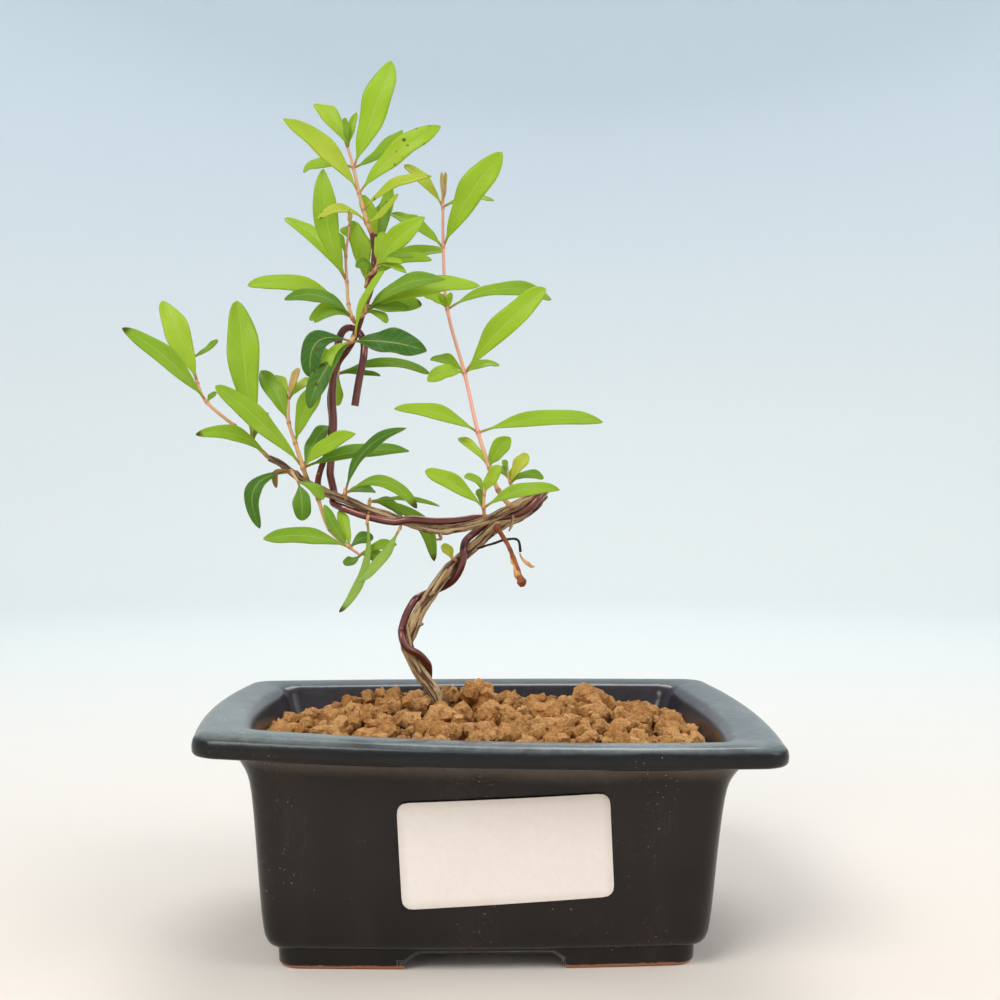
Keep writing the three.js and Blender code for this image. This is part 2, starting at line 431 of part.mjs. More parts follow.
// Each shoot: the nodes of its stem from the wood outwards, and the leaves that spring
// from each node: tip, greatest width, height of the arch and the way the blade faces
// (0 looks up, 90 looks to the front).
const SHOOTS = {
  shoot_tall_right: { stemRadius: 0.8, nodes: [
    at(8, -4.5, 102),
    at(6.5, -6.7, 102),
    at(3.7, -6.5, 105.7),
    at(1.7, -5, 111,
      leaf(6.6, -8, 118, 4.6, 0.8, 75),
      leaf(-5.9, 0, 118.4, 2.4, 0.8, 65)),
    at(-1, -2, 119.6,
      leaf(30, 2, 122.6, 4.8, 1.6, 68),
      leaf(-21, -7, 125.3, 4.2, 1.4, 68)),
    at(-4.3, 0, 134.2,
      leaf(15, -7, 154, 6.8, 0.8, 78),
      leaf(4.6, 6, 136.9, 2.6, 1, 60),
      leaf(-12.9, 7, 138.4, 3.2, 1.2, 60),
      leaf(-13, -7, 131.9, 4, 1.2, 72)),
    at(-8.5, 1, 150,
      leaf(17.8, 8, 153.9, 4.3, 3, 64),
      leaf(-14.5, -2, 153.6, 3.2, 0.8, 65)),
    at(-9.5, 3, 165.5,
      leaf(4.7, -5, 187, 7.4, 1.2, 80),
      leaf(-22.7, 9, 175.2, 4.3, 0.8, 62)),
    at(-9.6, 3, 175.5,
      leaf(-19.5, 9, 187.6, 3.2, 0.8, 75),
      leaf(3.5, 13, 179.7, 2.6, 1, 60)),
    at(-9.4, 3, 181),
  ] },
  shoot_front_small: { stemRadius: 0.65, nodes: [
    at(0.6, -5.5, 98.4),
    at(0.2, -9, 101.4,
      leaf(-13.4, -14, 110.2, 4.3, 0.8, 72),
      leaf(17.9, -13, 105.9, 3.8, 1.6, 66)),
    at(0.3, -9.5, 104.6,
      leaf(4.1, -11, 111.4, 3.4, 0.4, 76),
      leaf(-4.4, -5.5, 109, 2.2, 1.4, 64)),
    at(0.3, -9.5, 107),
  ] },
  shoot_behind_small: { stemRadius: 0.65, nodes: [
    at(11, -3, 103.4),
    at(9.5, -0.5, 104.6),
    at(7, 1.3, 107.3,
      leaf(11.3, 2, 114.6, 3.4, 0.4, 74),
      leaf(15.1, 0, 108.6, 2.5, 1.4, 62),
      leaf(4, 6, 111, 2.3, 1, 65)),
    at(6.3, 2, 110.5),
  ] },
  shoot_top: { stemRadius: 0.75, nodes: [
    at(-26.9, 0, 168.2),
    at(-28.1, 0, 170.9,
      leaf(-39.1, -9, 170, 2.4, 2.6, 70),
      leaf(-20.5, -5, 176.9, 2.2, -1.4, 64)),
    at(-28.9, 0, 174,
      leaf(-12.4, -9, 180.3, 2.9, 1.8, 70)),
    at(-30, 0, 178,
      leaf(-47.6, -6, 194.4, 5.4, 1.8, 76),
      leaf(-10.1, -5, 193.2, 5.8, 1.4, 78)),
    at(-31.4, 0.3, 184.3,
      leaf(-44.9, 9, 185.5, 4.2, 1.4, 68),
      leaf(-22.2, -2, 209.9, 7.6, -0.6, 80),
      leaf(-19.8, 9, 196.3, 3.8, -1.6, 66)),
    at(-32.8, 1, 189.3,
      leaf(-41.7, 6, 201.7, 4.6, 1.2, 76),
      leaf(-33.4, -0.5, 196.3, 1.7, 0.2, 82),
      leaf(-30.8, 2, 198.4, 2, 0.2, 82)),
  ] },
  shoot_upper_leader: { stemRadius: 0.65, nodes: [
    at(-27.8, -0.4, 157.8),
    at(-26.3, -2.6, 158.6,
      leaf(-13.9, -7, 170.9, 5.6, 0.8, 78),
      leaf(-30, -8, 158.8, 2.6, 1.4, 66)),
    at(-25.4, -3, 160,
      leaf(-25, -4.6, 169, 3.2, 0.4, 82),
      leaf(-18.3, -10, 157.2, 2.2, 0.8, 60)),
    at(-25, -3, 162,
      leaf(-17, 3, 171, 3.6, 0.8, 70)),
  ] },
  shoot_upper_back: { stemRadius: 0.65, nodes: [
    at(-28.4, 0.2, 155.2),
    at(-28.4, 3, 156.6,
      leaf(-30.2, 6, 166.4, 3.8, 0.3, 80),
      leaf(-9.1, 9, 166.3, 4.1, 1.8, 66)),
    at(-27, 4, 161),
    at(-26.2, 4.2, 164.5,
      leaf(-23.8, 6, 178.2, 4.4, 0.3, 78),
      leaf(-35.3, 7, 170.8, 3.6, 0.8, 70)),
  ] },
  shoot_mid_leader: { stemRadius: 0.65, nodes: [
    at(-30.2, -0.6, 147.4),
    at(-28.2, -4, 148.5,
      leaf(-9.3, -13, 155.3, 4.6, 2, 64),
      leaf(-0.8, -9, 154.4, 5, 2, 68),
      leaf(-22.8, -5.5, 145.9, 2.2, 0.9, 64)),
    at(-28, -4.6, 150.2,
      leaf(-14.7, -2, 151.2, 3.9, -0.8, 66)),
  ] },
  shoot_left_pink: { stemRadius: 0.65, nodes: [
    at(-31, -1.4, 146.4),
    at(-31.4, -3.6, 147.2,
      leaf(-55.9, -7, 154.7, 4.6, 3.2, 66),
      leaf(-46.5, -11, 150.7, 3.8, 2.6, 66),
      leaf(-42.1, -1.5, 147.1, 3.8, 2, 68),
      leaf(-40, -8, 145.6, 2.3, 1.6, 60)),
    at(-32.5, -1.2, 150.8),
    at(-33, 0, 156.5,
      leaf(-38.5, -2, 183.5, 6.3, -2, 80),
      leaf(-49.3, 9, 174.1, 3.9, 1.4, 66)),
    at(-33.4, 2, 163,
      leaf(-36, 4, 169.5, 2, 0.4, 70)),
    at(-32.6, 3, 170.5),
  ] },
  shoot_dark_leaves: { stemRadius: 0.75, nodes: [
    at(-31.4, -1.2, 143),
    at(-31.5, -5, 141.3,
      leaf(-13.4, -10, 138.7, 7, 0.6, 70),
      leaf(-41, -11, 125, 4.9, 1.4, 72),
      leaf(-40.8, -9, 132.4, 6, 5, 74)),
    at(-30.6, -5.6, 142.4,
      leaf(-23.6, -8, 158, 2.3, 1.2, 62)),
  ] },
  shoot_leader_back: { stemRadius: 0.7, nodes: [
    at(-36, 2, 133.5),
    at(-35.6, 5, 134.5,
      leaf(-12.9, 13, 135.6, 3.2, 2, 60),
      leaf(-36, 6.4, 126.6, 3.5, 0.8, 70)),
    at(-35.5, 6.5, 136.5,
      leaf(-43, 12, 141, 3.3, 0.8, 66)),
  ] },
  shoot_left_end: { stemRadius: 0.7, nodes: [
    at(-51.9, -1, 113.5,
      leaf(-67.9, -8, 118.9, 3.9, 2.6, 68)),
    at(-55.7, -1.8, 117.3,
      leaf(-59.7, 0, 151.9, 8, 0.2, 80)),
    at(-60, -2.2, 121.2),
    at(-66.4, -3.2, 126.8,
      leaf(-84.9, -9, 144, 5, 1.2, 72)),
    at(-69, -1, 131.5,
      leaf(-78.5, 3, 152.3, 6.4, 0.4, 80)),
    at(-70.8, 1.2, 138,
      leaf(-65.2, 4, 142.8, 1.7, -0.6, 62)),
  ] },
  shoot_left_middle: { stemRadius: 0.8, nodes: [
    at(-42.5, -1.5, 108),
    at(-43.2, -4, 111,
      leaf(-62.9, -10, 130.3, 5.4, 0.8, 76),
      leaf(-30.2, -11, 119, 4.3, 1.2, 70),
      leaf(-17.7, -6, 115.2, 4.2, 1.2, 62),
      leaf(-38.1, 4, 121.7, 4.2, 0.8, 66)),
    at(-45.2, -3, 117,
      leaf(-39, -6.4, 130.9, 5.2, 0.8, 78)),
    at(-46.9, -2, 122,
      leaf(-54.7, 4, 135.3, 5, 0.8, 76)),
    at(-47.1, -1, 127.6,
      leaf(-51.8, 6, 134.2, 3, 0.8, 60),
      leaf(-41.8, 6, 133, 3, 0.8, 60),
      leaf(-44.8, 0, 135.4, 2.1, 0.2, 80)),
  ] },
  shoot_hanging_left: { stemRadius: 0.7, nodes: [
    at(-46.7, -1.2, 110.2),
    at(-46, -3.7, 110,
      leaf(-53.2, -7, 96.5, 4.2, 5.6, 70)),
    at(-44.3, -4.8, 107.6,
      leaf(-43.3, -6, 98.3, 4.8, 0.8, 78),
      leaf(-38.1, -6, 103.4, 2.9, 0.8, 66)),
  ] },
  shoot_branch_middle: { stemRadius: 0.7, nodes: [
    at(-32.9, -2.6, 103.2),
    at(-33, -6, 104.8,
      leaf(-18.3, -14, 120.2, 3.5, 3, 60),
      leaf(-15.8, -10, 101.5, 3.4, 4.2, 62),
      leaf(-26.1, 3, 105.2, 2.4, 0.8, 60)),
    at(-33, -6.4, 106),
  ] },
  shoot_branch_right: { stemRadius: 0.65, nodes: [
    at(-27.6, -3, 101),
    at(-27.4, -1, 102.8,
      leaf(-11.5, 4, 88, 3.9, 4.4, 66),
      leaf(-19.5, 5.5, 99.4, 3.6, 1.2, 60),
      leaf(-10.4, -1.5, 101.9, 1.3, 1, 66)),
    at(-27.4, -0.2, 103.6),
  ] },
  shoot_hanging_middle: { stemRadius: 0.7, nodes: [
    at(-40.5, -1.5, 106.5),
    at(-39.5, -4.6, 103.4),
    at(-36.6, -5.6, 96),
    at(-31.8, -6, 91.8,
      leaf(-51.4, -13, 94.3, 4.5, 1.4, 64),
      leaf(-37.8, -6.5, 102.2, 3, -0.8, 72),
      leaf(-34.7, -2, 100.7, 3, 0.4, 70),
      leaf(-26.3, -4, 94.3, 3.3, 0.8, 62)),
    at(-29.5, -5, 90,
      leaf(-23.9, -3, 88.1, 3.4, 0.8, 66),
      leaf(-33.6, -5, 88.5, 2.6, -0.8, 60),
      leaf(-20.7, -2, 92.5, 2.6, 0.8, 66)),
  ] },
  shoot_hanging_long: { stemRadius: 0.65, nodes: [
    at(-27.4, -3.6, 100.4),
    at(-27.6, -6.4, 98.4,
      leaf(-33.9, -9, 76.5, 3.4, -1.6, 66)),
    at(-27.9, -7, 97.4),
  ] },
  shoot_hanging_pale: { stemRadius: 0.65, nodes: [
    at(-19.6, -4.4, 97.6),
    at(-19.8, -7, 96.4,
      leaf(-29.8, -12, 83.8, 3.6, 1.2, 60)),
    at(-20.2, -7.6, 95.6),
  ] },
  trunk_leaf: { stemRadius: 0.65, nodes: [
    at(-6, 1, 88),
    at(-7, -1.6, 88.8,
      leaf(-9.8, -4, 92.2, 2.6, 0.4, 72)),
    at(-7.8, -2.6, 89.4),
  ] },
};

// Blade outline: place along the leaf, and its share of the half width.
const BLADE = [[0, 0], [0.2, 0.5], [0.45, 1], [0.75, 0.82], [1, 0]];
const PETIOLE_HALF_WIDTH = 0.32;
const TIP_HALF_WIDTH = 0.2;
const FOLD = 0.2;                   // how far the edges rise above the midrib
const WAVE = 0.1;                   // of the edges, up and down
const RECURVE = 0.05;               // how far the middle bulges to its face, to the leaf's length
const TANGENT_STEP = 0.02;

function makeLeaf(base, { tip, width, arch, face }) {
  const chord = tip.clone().sub(base);
  const along = chord.clone().normalize();
  const squareTo = (way) => way.clone().addScaledVector(along, -way.dot(along)).normalize();
  const rise = squareTo(UP);
  const facing = rise.clone().multiplyScalar(Math.cos(degrees(face)))
    .addScaledVector(squareTo(TOWARDS_FRONT), Math.sin(degrees(face)))
    .normalize();
  const recurve = RECURVE * chord.length();
  const centreAt = (t) => base.clone()
    .addScaledVector(chord, t)
    .addScaledVector(rise, 4 * arch * t * (1 - t))
    .addScaledVector(facing, 4 * recurve * t * (1 - t));
  const rings = BLADE.map(([t, share], i) => {
    const centre = centreAt(t);
    const tangent = centreAt(t + TANGENT_STEP).sub(centreAt(t - TANGENT_STEP)).normalize();
    const side = facing.clone().cross(tangent).normalize();
    const normal = tangent.clone().cross(side);
    const least = i === 0 ? PETIOLE_HALF_WIDTH : TIP_HALF_WIDTH;
    const half = Math.max((width / 2) * share, least);
    const lift = (way) => half * (FOLD + WAVE * (i % 2 === 0 ? way : -way));
    const corner = (way, up) => centre.clone()
      .addScaledVector(side, way * half)
      .addScaledVector(normal, Math.abs(way) * lift(way) + (up * BLADE_THICKNESS) / 2);
    return [corner(1, 1), corner(0, 1), corner(-1, 1), corner(-1, -1), corner(0, -1), corner(1, -1)];
  });
  return bladeSkin(rings);
}

// Skin over the blade's sections, split into triangles alike on both faces.
function bladeSkin(rings) {
  const triangles = [];
  const quad = (a, b, c, d) => triangles.push([a, b, c], [a, c, d]);
  for (let i = 0; i + 1 < rings.length; i += 1) {
    const [p, q] = [6 * i, 6 * (i + 1)];
    quad(p, p + 1, q + 1, q);
    quad(p + 2, q + 2, q + 1, p + 1);
    quad(p + 4, p + 5, q + 5, q + 4);
    quad(p + 4, q + 4, q + 3, p + 3);
    quad(p + 3, q + 3, q + 2, p + 2);
    quad(p, q, q + 5, p + 5);
  }
  const end = 6 * (rings.length - 1);
  triangles.push([0, 5, 4], [0, 4, 1], [1, 4, 3], [1, 3, 2]);
  triangles.push([end, end + 4, end + 5], [end, end + 1, end + 4]);
  triangles.push([end + 1, end + 3, end + 4], [end + 1, end + 2, end + 3]);
  return geometryFrom(rings.flat(), triangles);
}

const STEM_TAPER = 0.75;            // share of the radius that is left at the stem's tip

function makeShoot({ stemRadius, nodes }, clear) {
  const controls = nodes.map(({ place }, i) => {
    const taper = 1 - ((1 - STEM_TAPER) * i) / (nodes.length - 1);
    return [place.x, place.y, place.z, stemRadius * taper];
  });
  const stem = solid(rod(controls, { sides: 4, steps: nodes.length }));
  const blades = nodes.flatMap(({ place, leaves }) => leaves.map((one) => solid(makeLeaf(place, one))));
  return largestBody(joined([stem, ...blades]).subtract(clear).simplify(COARSE));
}

// ---------------------------------------------------------------- dried leaf under the loop

const WITHERED_STALK = [
  [3.6, 1.4, 96.6, 0.9], [4.4, -0.8, 95.2, 0.65], [6.1, -1.5, 92.5, 0.55], [7.4, -1.5, 89.8, 0.6],
  [8.5, -2, 87, 0.8], [9.3, -2, 84.2, 1.2], [9.7, -2, 82.6, 0.8],
];
const WITHERED_TWIG = [
  [-1.2, 1.4, 91.2, 0.45], [3, -0.8, 92.6, 0.45], [5.8, -1.3, 93.5, 0.5], [8.7, -1, 93.4, 0.45],
  [9.4, -1, 90.4, 0.45],
];
const WITHERED_BLADES = [
  { base: [9.4, -1, 90.4], tip: leaf(13.1, -2, 87.6, 2.2, -0.6, 60) },
  { base: [8.7, -1, 93.4], tip: leaf(7.6, -2.4, 89, 1.8, 0.8, 60) },
];

function makeWitheredLeaf(clear) {
  const blades = WITHERED_BLADES.map(({ base, tip }) => solid(makeLeaf(vec(...base), tip)));
  const rods = [WITHERED_STALK, WITHERED_TWIG].map((path) => solid(rod(path, { sides: 4, steps: 6 })));
  return largestBody(joined([...rods, ...blades]).subtract(clear));
}

// ---------------------------------------------------------------- soil

const soilLevel = (z, halfWidth, bow) => ({ z, halfWidth: halfWidth - CLEARANCE, bow });
const SOIL_BODY = [
  soilLevel(FLOOR_TOP + CLEARANCE, 45.8, 0.6),
  soilLevel(12, 47.5, 0.65),
  soilLevel(36, 50.7, 0.75),
  soilLevel(42, 52.3, 0.8),
  soilLevel(SOIL_EDGE_HEIGHT, 54, 0.8),
];
const MOUND = { height: 3.6, halfWidth: 52, halfDepth: 38 };
const MOUND_LEVELS = [
  soilLevel(SOIL_EDGE_HEIGHT + 0.5 * MOUND.height, 38, 0.6),
  soilLevel(SOIL_EDGE_HEIGHT + 0.8 * MOUND.height, 24, 0.3),
];

function moundHeight(x, y) {
  const spread = Math.hypot(x / MOUND.halfWidth, y / MOUND.halfDepth);
  return SOIL_EDGE_HEIGHT + MOUND.height * Math.max(0, 1 - spread ** 2);
}

// Angular granule: a block with knocked-about corners, narrower at the top.
function makeGrain(random) {
  const points = [];
  for (const up of [-1, 1]) {
    for (const [wayX, wayY] of [[-1, -1], [1, -1], [1, 1], [-1, 1]]) {
      const reach = (share) => GRAIN_RADIUS * (share + GRAIN_SHAPE.uneven * random());
      const side = up > 0 ? GRAIN_SHAPE.top : GRAIN_SHAPE.base;
      points.push(vec(wayX * reach(side), wayY * reach(side), up * reach(GRAIN_SHAPE.half)));
    }
  }
  const triangles = [[0, 2, 1], [0, 3, 2], [4, 5, 6], [4, 6, 7]];
  for (let i = 0; i < 4; i += 1) {
    const next = (i + 1) % 4;
    triangles.push([i, next, next + 4], [i, next + 4, i + 4]);
  }
  return geometryFrom(points, triangles);
}

function makeGrains() {
  const random = makeRandom(31);
  const grains = [];
  const halfX = 47;                 // of the field the grains lie in
  const halfY = 32;
  const loose = 1.2;                // how far a grain strays from its row
  const rowStep = GRAIN_SPACING * Math.sin(Math.PI / 3);
  const rows = Math.round((2 * halfY) / rowStep);
  for (let row = 0; row <= rows; row += 1) {
    const y = -halfY + (2 * halfY * row) / rows;
    const count = Math.round((2 * halfX) / GRAIN_SPACING) - (row % 2);
    for (let i = 0; i <= count; i += 1) {
      const x = (i - count / 2) * GRAIN_SPACING + loose * (random() - 0.5);
      const grain = makeGrain(random);
      grain.rotateX(GRAIN_SHAPE.tilt * (2 * random() - 1));
      grain.rotateY(GRAIN_SHAPE.tilt * (2 * random() - 1));
      grain.rotateZ(Math.PI * random());
      grain.translate(x, y + loose * (random() - 0.5), moundHeight(x, y) + loose * random());
      grains.push(solid(grain));
    }
  }
  return grains;
}

function makeSoil(clear) {
  const body = solid(loft([...SOIL_BODY, ...MOUND_LEVELS].map(potOutline)));
  const side = MESH_SIDE + 2 * CLEARANCE;
  const pocketTop = FLOOR_TOP + MESH_THICKNESS + 2 * CLEARANCE;
  const pockets = [-DRAIN_HOLE_X, DRAIN_HOLE_X].map((x) => block(side, side, pocketTop, x, 0, pocketTop / 2));
  const above = { ...SOIL_BODY.at(-1), z: LIP_HEIGHT + GRAIN_RADIUS };
  const inside = solid(loft([...SOIL_BODY, above].map(potOutline)));
  const heap = joined([body, ...makeGrains()]).simplify(ROUGH).intersect(inside);
  return largestBody(heap.subtract(joined(pockets)).subtract(clear));
}

// ---------------------------------------------------------------- label

// A point of the front wall, or as far as out before it, at x and height z of the square pot.
function frontWall(x, z, out) {
  const [low, high] = [OUTER_WALL[4], OUTER_WALL[5]];
  const share = (z - low.z) / (high.z - low.z);
  const halfWidth = low.halfWidth + (high.halfWidth - low.halfWidth) * share;
  const halfDepth = halfWidth - DEPTH_DIFFERENCE;
  const bow = low.bow + (high.bow - low.bow) * share;
  const y = RIM_BOW.y * bow * (x / halfWidth) ** 2 - halfDepth - out;
  return drawnIn(x, y, z, halfWidth, halfDepth);
}

function makeLabel() {
  const steps = 8;
  const tilt = degrees(LABEL_CENTRE.tiltDeg);
  const rings = [];
  for (let i = 0; i <= steps; i += 1) {
    const along = LABEL_WIDTH * (i / steps - 0.5);
    const endwards = Math.abs(along) * 2 / LABEL_WIDTH;
    const half = (LABEL_HEIGHT / 2) - (endwards === 1 ? LABEL_CORNER : 0);
    const corner = (up, out) => {
      const x = LABEL_CENTRE.x + along * Math.cos(tilt) - up * Math.sin(tilt);
      const z = LABEL_CENTRE.z + along * Math.sin(tilt) + up * Math.cos(tilt);
      return frontWall(x, z, out);
    };
    const near = CLEARANCE;
    const far = CLEARANCE + LABEL_THICKNESS;
    rings.push([corner(-half, near), corner(half, near), corner(half, far), corner(-half, far)]);
  }
  return loft(rings);
}

// ---------------------------------------------------------------- the whole plant

const finish = (hex, roughness, metalness = 0) => (
  new THREE.MeshStandardMaterial({ color: hex, roughness, metalness })
);
const GLAZE = finish(0x2b2a2c, 0.3);
const AKADAMA = finish(0xb9793f, 0.95);
const BARK = finish(0x8a6a48, 0.85);
const ANODISED = finish(0x4a2630, 0.35, 0.8);
const YOUNG_LEAF = finish(0x9fc03a, 0.5);
const OLD_LEAF = finish(0x4f7a2a, 0.45);
const DRIED_LEAF = finish(0xa0622e, 0.85);
const PAPER = finish(0xe9e2d8, 0.7);
const PLASTIC_MESH = finish(0x1d1d1d, 0.6);
const OLD_SHOOTS = ['shoot_dark_leaves', 'shoot_leader_back'];

const plant = new THREE.Group();
plant.position.x = PLANT_SHIFT_X;

function add(name, geometry, material) {
  const mesh = new THREE.Mesh(geometry, material);
  mesh.name = name;
  plant.add(mesh);
}

const roomAround = CLEARANCE + 0.05;  // flats of the coarse sections lie a little inside
const room = makeWood(roomAround).add(solid(makeWire(roomAround)));

add('pot', geometryOf(makePot()), GLAZE);
add('drain_mesh_left', geometryOf(makeDrainMesh(-DRAIN_HOLE_X)), PLASTIC_MESH);
add('drain_mesh_right', geometryOf(makeDrainMesh(DRAIN_HOLE_X)), PLASTIC_MESH);
add('soil', geometryOf(makeSoil(room)), AKADAMA);
add('trunk', geometryOf(makeWood()), BARK);
add('wire', makeWire(), ANODISED);
add('label', makeLabel(), PAPER);
add('withered_leaf', geometryOf(makeWitheredLeaf(room)), DRIED_LEAF);
for (const [name, shoot] of Object.entries(SHOOTS)) {
  const material = OLD_SHOOTS.includes(name) ? OLD_LEAF : YOUNG_LEAF;
  add(name, geometryOf(makeShoot(shoot, room)), material);
}

export default plant;
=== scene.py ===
import math
import random

import bmesh
import bpy
from mathutils import Matrix, Vector, noise


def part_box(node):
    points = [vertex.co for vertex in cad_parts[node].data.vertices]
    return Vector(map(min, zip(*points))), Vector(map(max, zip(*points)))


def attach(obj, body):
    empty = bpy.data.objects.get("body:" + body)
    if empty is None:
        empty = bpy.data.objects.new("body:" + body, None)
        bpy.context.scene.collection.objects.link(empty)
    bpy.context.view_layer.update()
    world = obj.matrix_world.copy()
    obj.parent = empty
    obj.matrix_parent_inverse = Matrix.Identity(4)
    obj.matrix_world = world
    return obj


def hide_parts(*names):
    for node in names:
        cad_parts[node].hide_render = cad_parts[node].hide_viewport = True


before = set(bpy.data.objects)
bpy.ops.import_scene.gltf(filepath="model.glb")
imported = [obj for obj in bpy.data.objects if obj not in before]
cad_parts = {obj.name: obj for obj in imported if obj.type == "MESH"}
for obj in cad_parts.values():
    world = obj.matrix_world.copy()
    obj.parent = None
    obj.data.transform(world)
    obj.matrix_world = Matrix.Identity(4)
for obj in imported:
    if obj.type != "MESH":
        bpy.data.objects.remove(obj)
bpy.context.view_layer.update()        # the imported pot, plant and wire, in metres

mm = 0.001
potLow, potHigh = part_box("pot")
potMiddle = (potLow.x + potHigh.x) / 2        # all places below are measured from here
scene = bpy.context.scene


def place(x, y, z):
    return Vector((x * mm + potMiddle, y * mm, z * mm))


def finishPiece(name, work, materials, nodes):
    mesh = bpy.data.meshes.new(name)
    for face in work.faces:
        face.smooth = True
    work.to_mesh(mesh)
    work.free()
    for material in materials:
        mesh.materials.append(material)
    piece = bpy.data.objects.new(name, mesh)
    scene.collection.objects.link(piece)
    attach(piece, "root")
    for node in nodes:
        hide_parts(node)
    return piece


# shader maths, written as sums of sockets
class Shade:
    # a socket in a material's node tree that can be added, multiplied and so on
    def __init__(self, tree, socket=None):
        self.tree, self.socket = tree, socket

    def node(self, kind, settings=None, inputs=None, out=0):
        made = self.tree.nodes.new(kind)
        for key, value in (settings or {}).items():
            setattr(made, key, value)
        for key, value in (inputs or {}).items():
            if isinstance(value, Shade):
                self.tree.links.new(value.socket, made.inputs[key])
            else:
                made.inputs[key].default_value = value
        return Shade(self.tree, made.outputs[out] if made.outputs else None)

    def maths(self, operation, *values):
        settings = {"operation": operation}
        return self.node("ShaderNodeMath", settings, dict(enumerate(values)))

    def __add__(self, other):
        return self.maths("ADD", self, other)

    def __sub__(self, other):
        return self.maths("SUBTRACT", self, other)

    def __rsub__(self, other):
        return self.maths("SUBTRACT", other, self)

    def __mul__(self, other):
        return self.maths("MULTIPLY", self, other)

    __radd__, __rmul__ = __add__, __mul__

    def above(self, low, high):                # 0 below low, 1 above high, smooth between
        settings = {"interpolation_type": "SMOOTHSTEP"}
        inputs = {"Value": self, "From Min": low, "From Max": high}
        return self.node("ShaderNodeMapRange", settings, inputs)

    def size(self):
        return self.maths("ABSOLUTE", self)

    def mixed(self, first, second):            # colours, by this factor
        inputs = {0: self, 6: colourOf(first), 7: colourOf(second)}
        return self.node("ShaderNodeMix", {"data_type": "RGBA"}, inputs, out=2)

    def towards(self, colour, share):          # this colour, moved a fixed share of the way
        inputs = {0: share, 6: self, 7: colourOf(colour)}
        return self.node("ShaderNodeMix", {"data_type": "RGBA"}, inputs, out=2)


def colourOf(value):
    return value if isinstance(value, Shade) else (*value, 1)


def rgb(red, green, blue):                     # screen values 0 to 255 made linear
    def linear(value):
        value /= 255
        return value / 12.92 if value <= 0.04045 else ((value + 0.055) / 1.055) ** 2.4
    return tuple(linear(value) for value in (red, green, blue))


def startMaterial(name):
    material = bpy.data.materials.new(name)
    material.use_nodes = True
    material.node_tree.nodes.clear()
    return material, Shade(material.node_tree)


def objectSpace(shade):
    return shade.node("ShaderNodeTexCoord", out=3)


def attribute(shade, name, out=1):             # out 1 is a vector, 2 a number, 0 a colour
    return shade.node("ShaderNodeAttribute", {"attribute_name": name}, out=out)


def parts(vector):
    return [vector.node("ShaderNodeSeparateXYZ", None, {0: vector}, out=axis) for axis in range(3)]


def wave(value, pace):
    return value.maths("SINE", value * pace)


def stretched(vector, scale):
    return vector.node("ShaderNodeMapping", None, {"Vector": vector, "Scale": scale})


def cloud(vector, scale, detail=4, roughness=0.55):
    inputs = {"Vector": vector, "Scale": scale, "Detail": detail, "Roughness": roughness}
    return vector.node("ShaderNodeTexNoise", None, inputs)


def cells(vector, scale):                      # distance to the nearest of many scattered dots
    return vector.node("ShaderNodeTexVoronoi", None, {"Vector": vector, "Scale": scale})


def bumped(height, distance, strength=1, under=None):
    inputs = {"Height": height, "Distance": distance, "Strength": strength}
    if under:
        inputs["Normal"] = under
    return height.node("ShaderNodeBump", None, inputs)


def coat(shade, inputs, material, glow=None):
    surface = shade.node("ShaderNodeBsdfPrincipled", None, inputs)
    if glow:                                   # light that comes through a thin blade
        share, colour = glow
        through = shade.node("ShaderNodeBsdfTranslucent", None, {"Color": (*colour, 1)})
        surface = shade.node("ShaderNodeMixShader", None, {0: share, 1: surface, 2: through})
    shade.node("ShaderNodeOutputMaterial", None, {"Surface": surface})
    return material


# curves, and the rods that wood, wire and stems are made of
def curvePoint(points, t):                     # smooth curve through the points, t from 0 to 1
    position = t * (len(points) - 1)
    index = min(int(position), len(points) - 2)
    share = position - index
    inner, after = points[index], points[index + 1]
    before = points[index - 1] if index > 0 else inner * 2 - after
    beyond = points[index + 2] if index + 2 < len(points) else after * 2 - inner
    gaps = [max((b - a).length, 1e-9) ** 0.5
            for a, b in ((before, inner), (inner, after), (after, beyond))]
    slopeIn = ((inner - before) / gaps[0] - (after - before) / (gaps[0] + gaps[1])
               + (after - inner) / gaps[1]) * gaps[1]
    slopeOut = ((after - inner) / gaps[1] - (beyond - inner) / (gaps[1] + gaps[2])
                + (beyond - after) / gaps[2]) * gaps[1]
    square, cube = share ** 2, share ** 3
    return (inner * (2 * cube - 3 * square + 1) + after * (3 * square - 2 * cube)
            + slopeIn * (cube - 2 * square + share) + slopeOut * (cube - square))


def sectionsAlong(points, steps):              # (share of the way, centre, front, right, along)
    sections, front = [], Vector((0, -1, 0))
    nudge = 1e-4
    for i in range(steps + 1):
        t = i / steps
        along = curvePoint(points, min(t + nudge, 1)) - curvePoint(points, max(t - nudge, 0))
        along.normalize()
        front = (front - along * front.dot(along)).normalized()
        sections.append((t, curvePoint(points, t), front, along.cross(front), along))
    return sections


def each(groups):                              # every item once, in the same order in each run
    return list(dict.fromkeys(item for group in groups for item in group))


def newVerts(grown):
    return [item for item in grown if isinstance(item, bmesh.types.BMVert)]


def extruded(work, edges):                     # the new loop's corners and edges
    grown = bmesh.ops.extrude_edge_only(work, edges=edges)["geom"]
    ring = newVerts(grown)
    fresh = set(ring)
    return ring, [item for item in grown if isinstance(item, bmesh.types.BMEdge)
                  and all(vert in fresh for vert in item.verts)]


def readTable(values, t):                      # straight lines between evenly spaced values
    position = t * (len(values) - 1)
    index = min(int(position), len(values) - 2)
    share = position - index
    return values[index] * (1 - share) + values[index + 1] * share


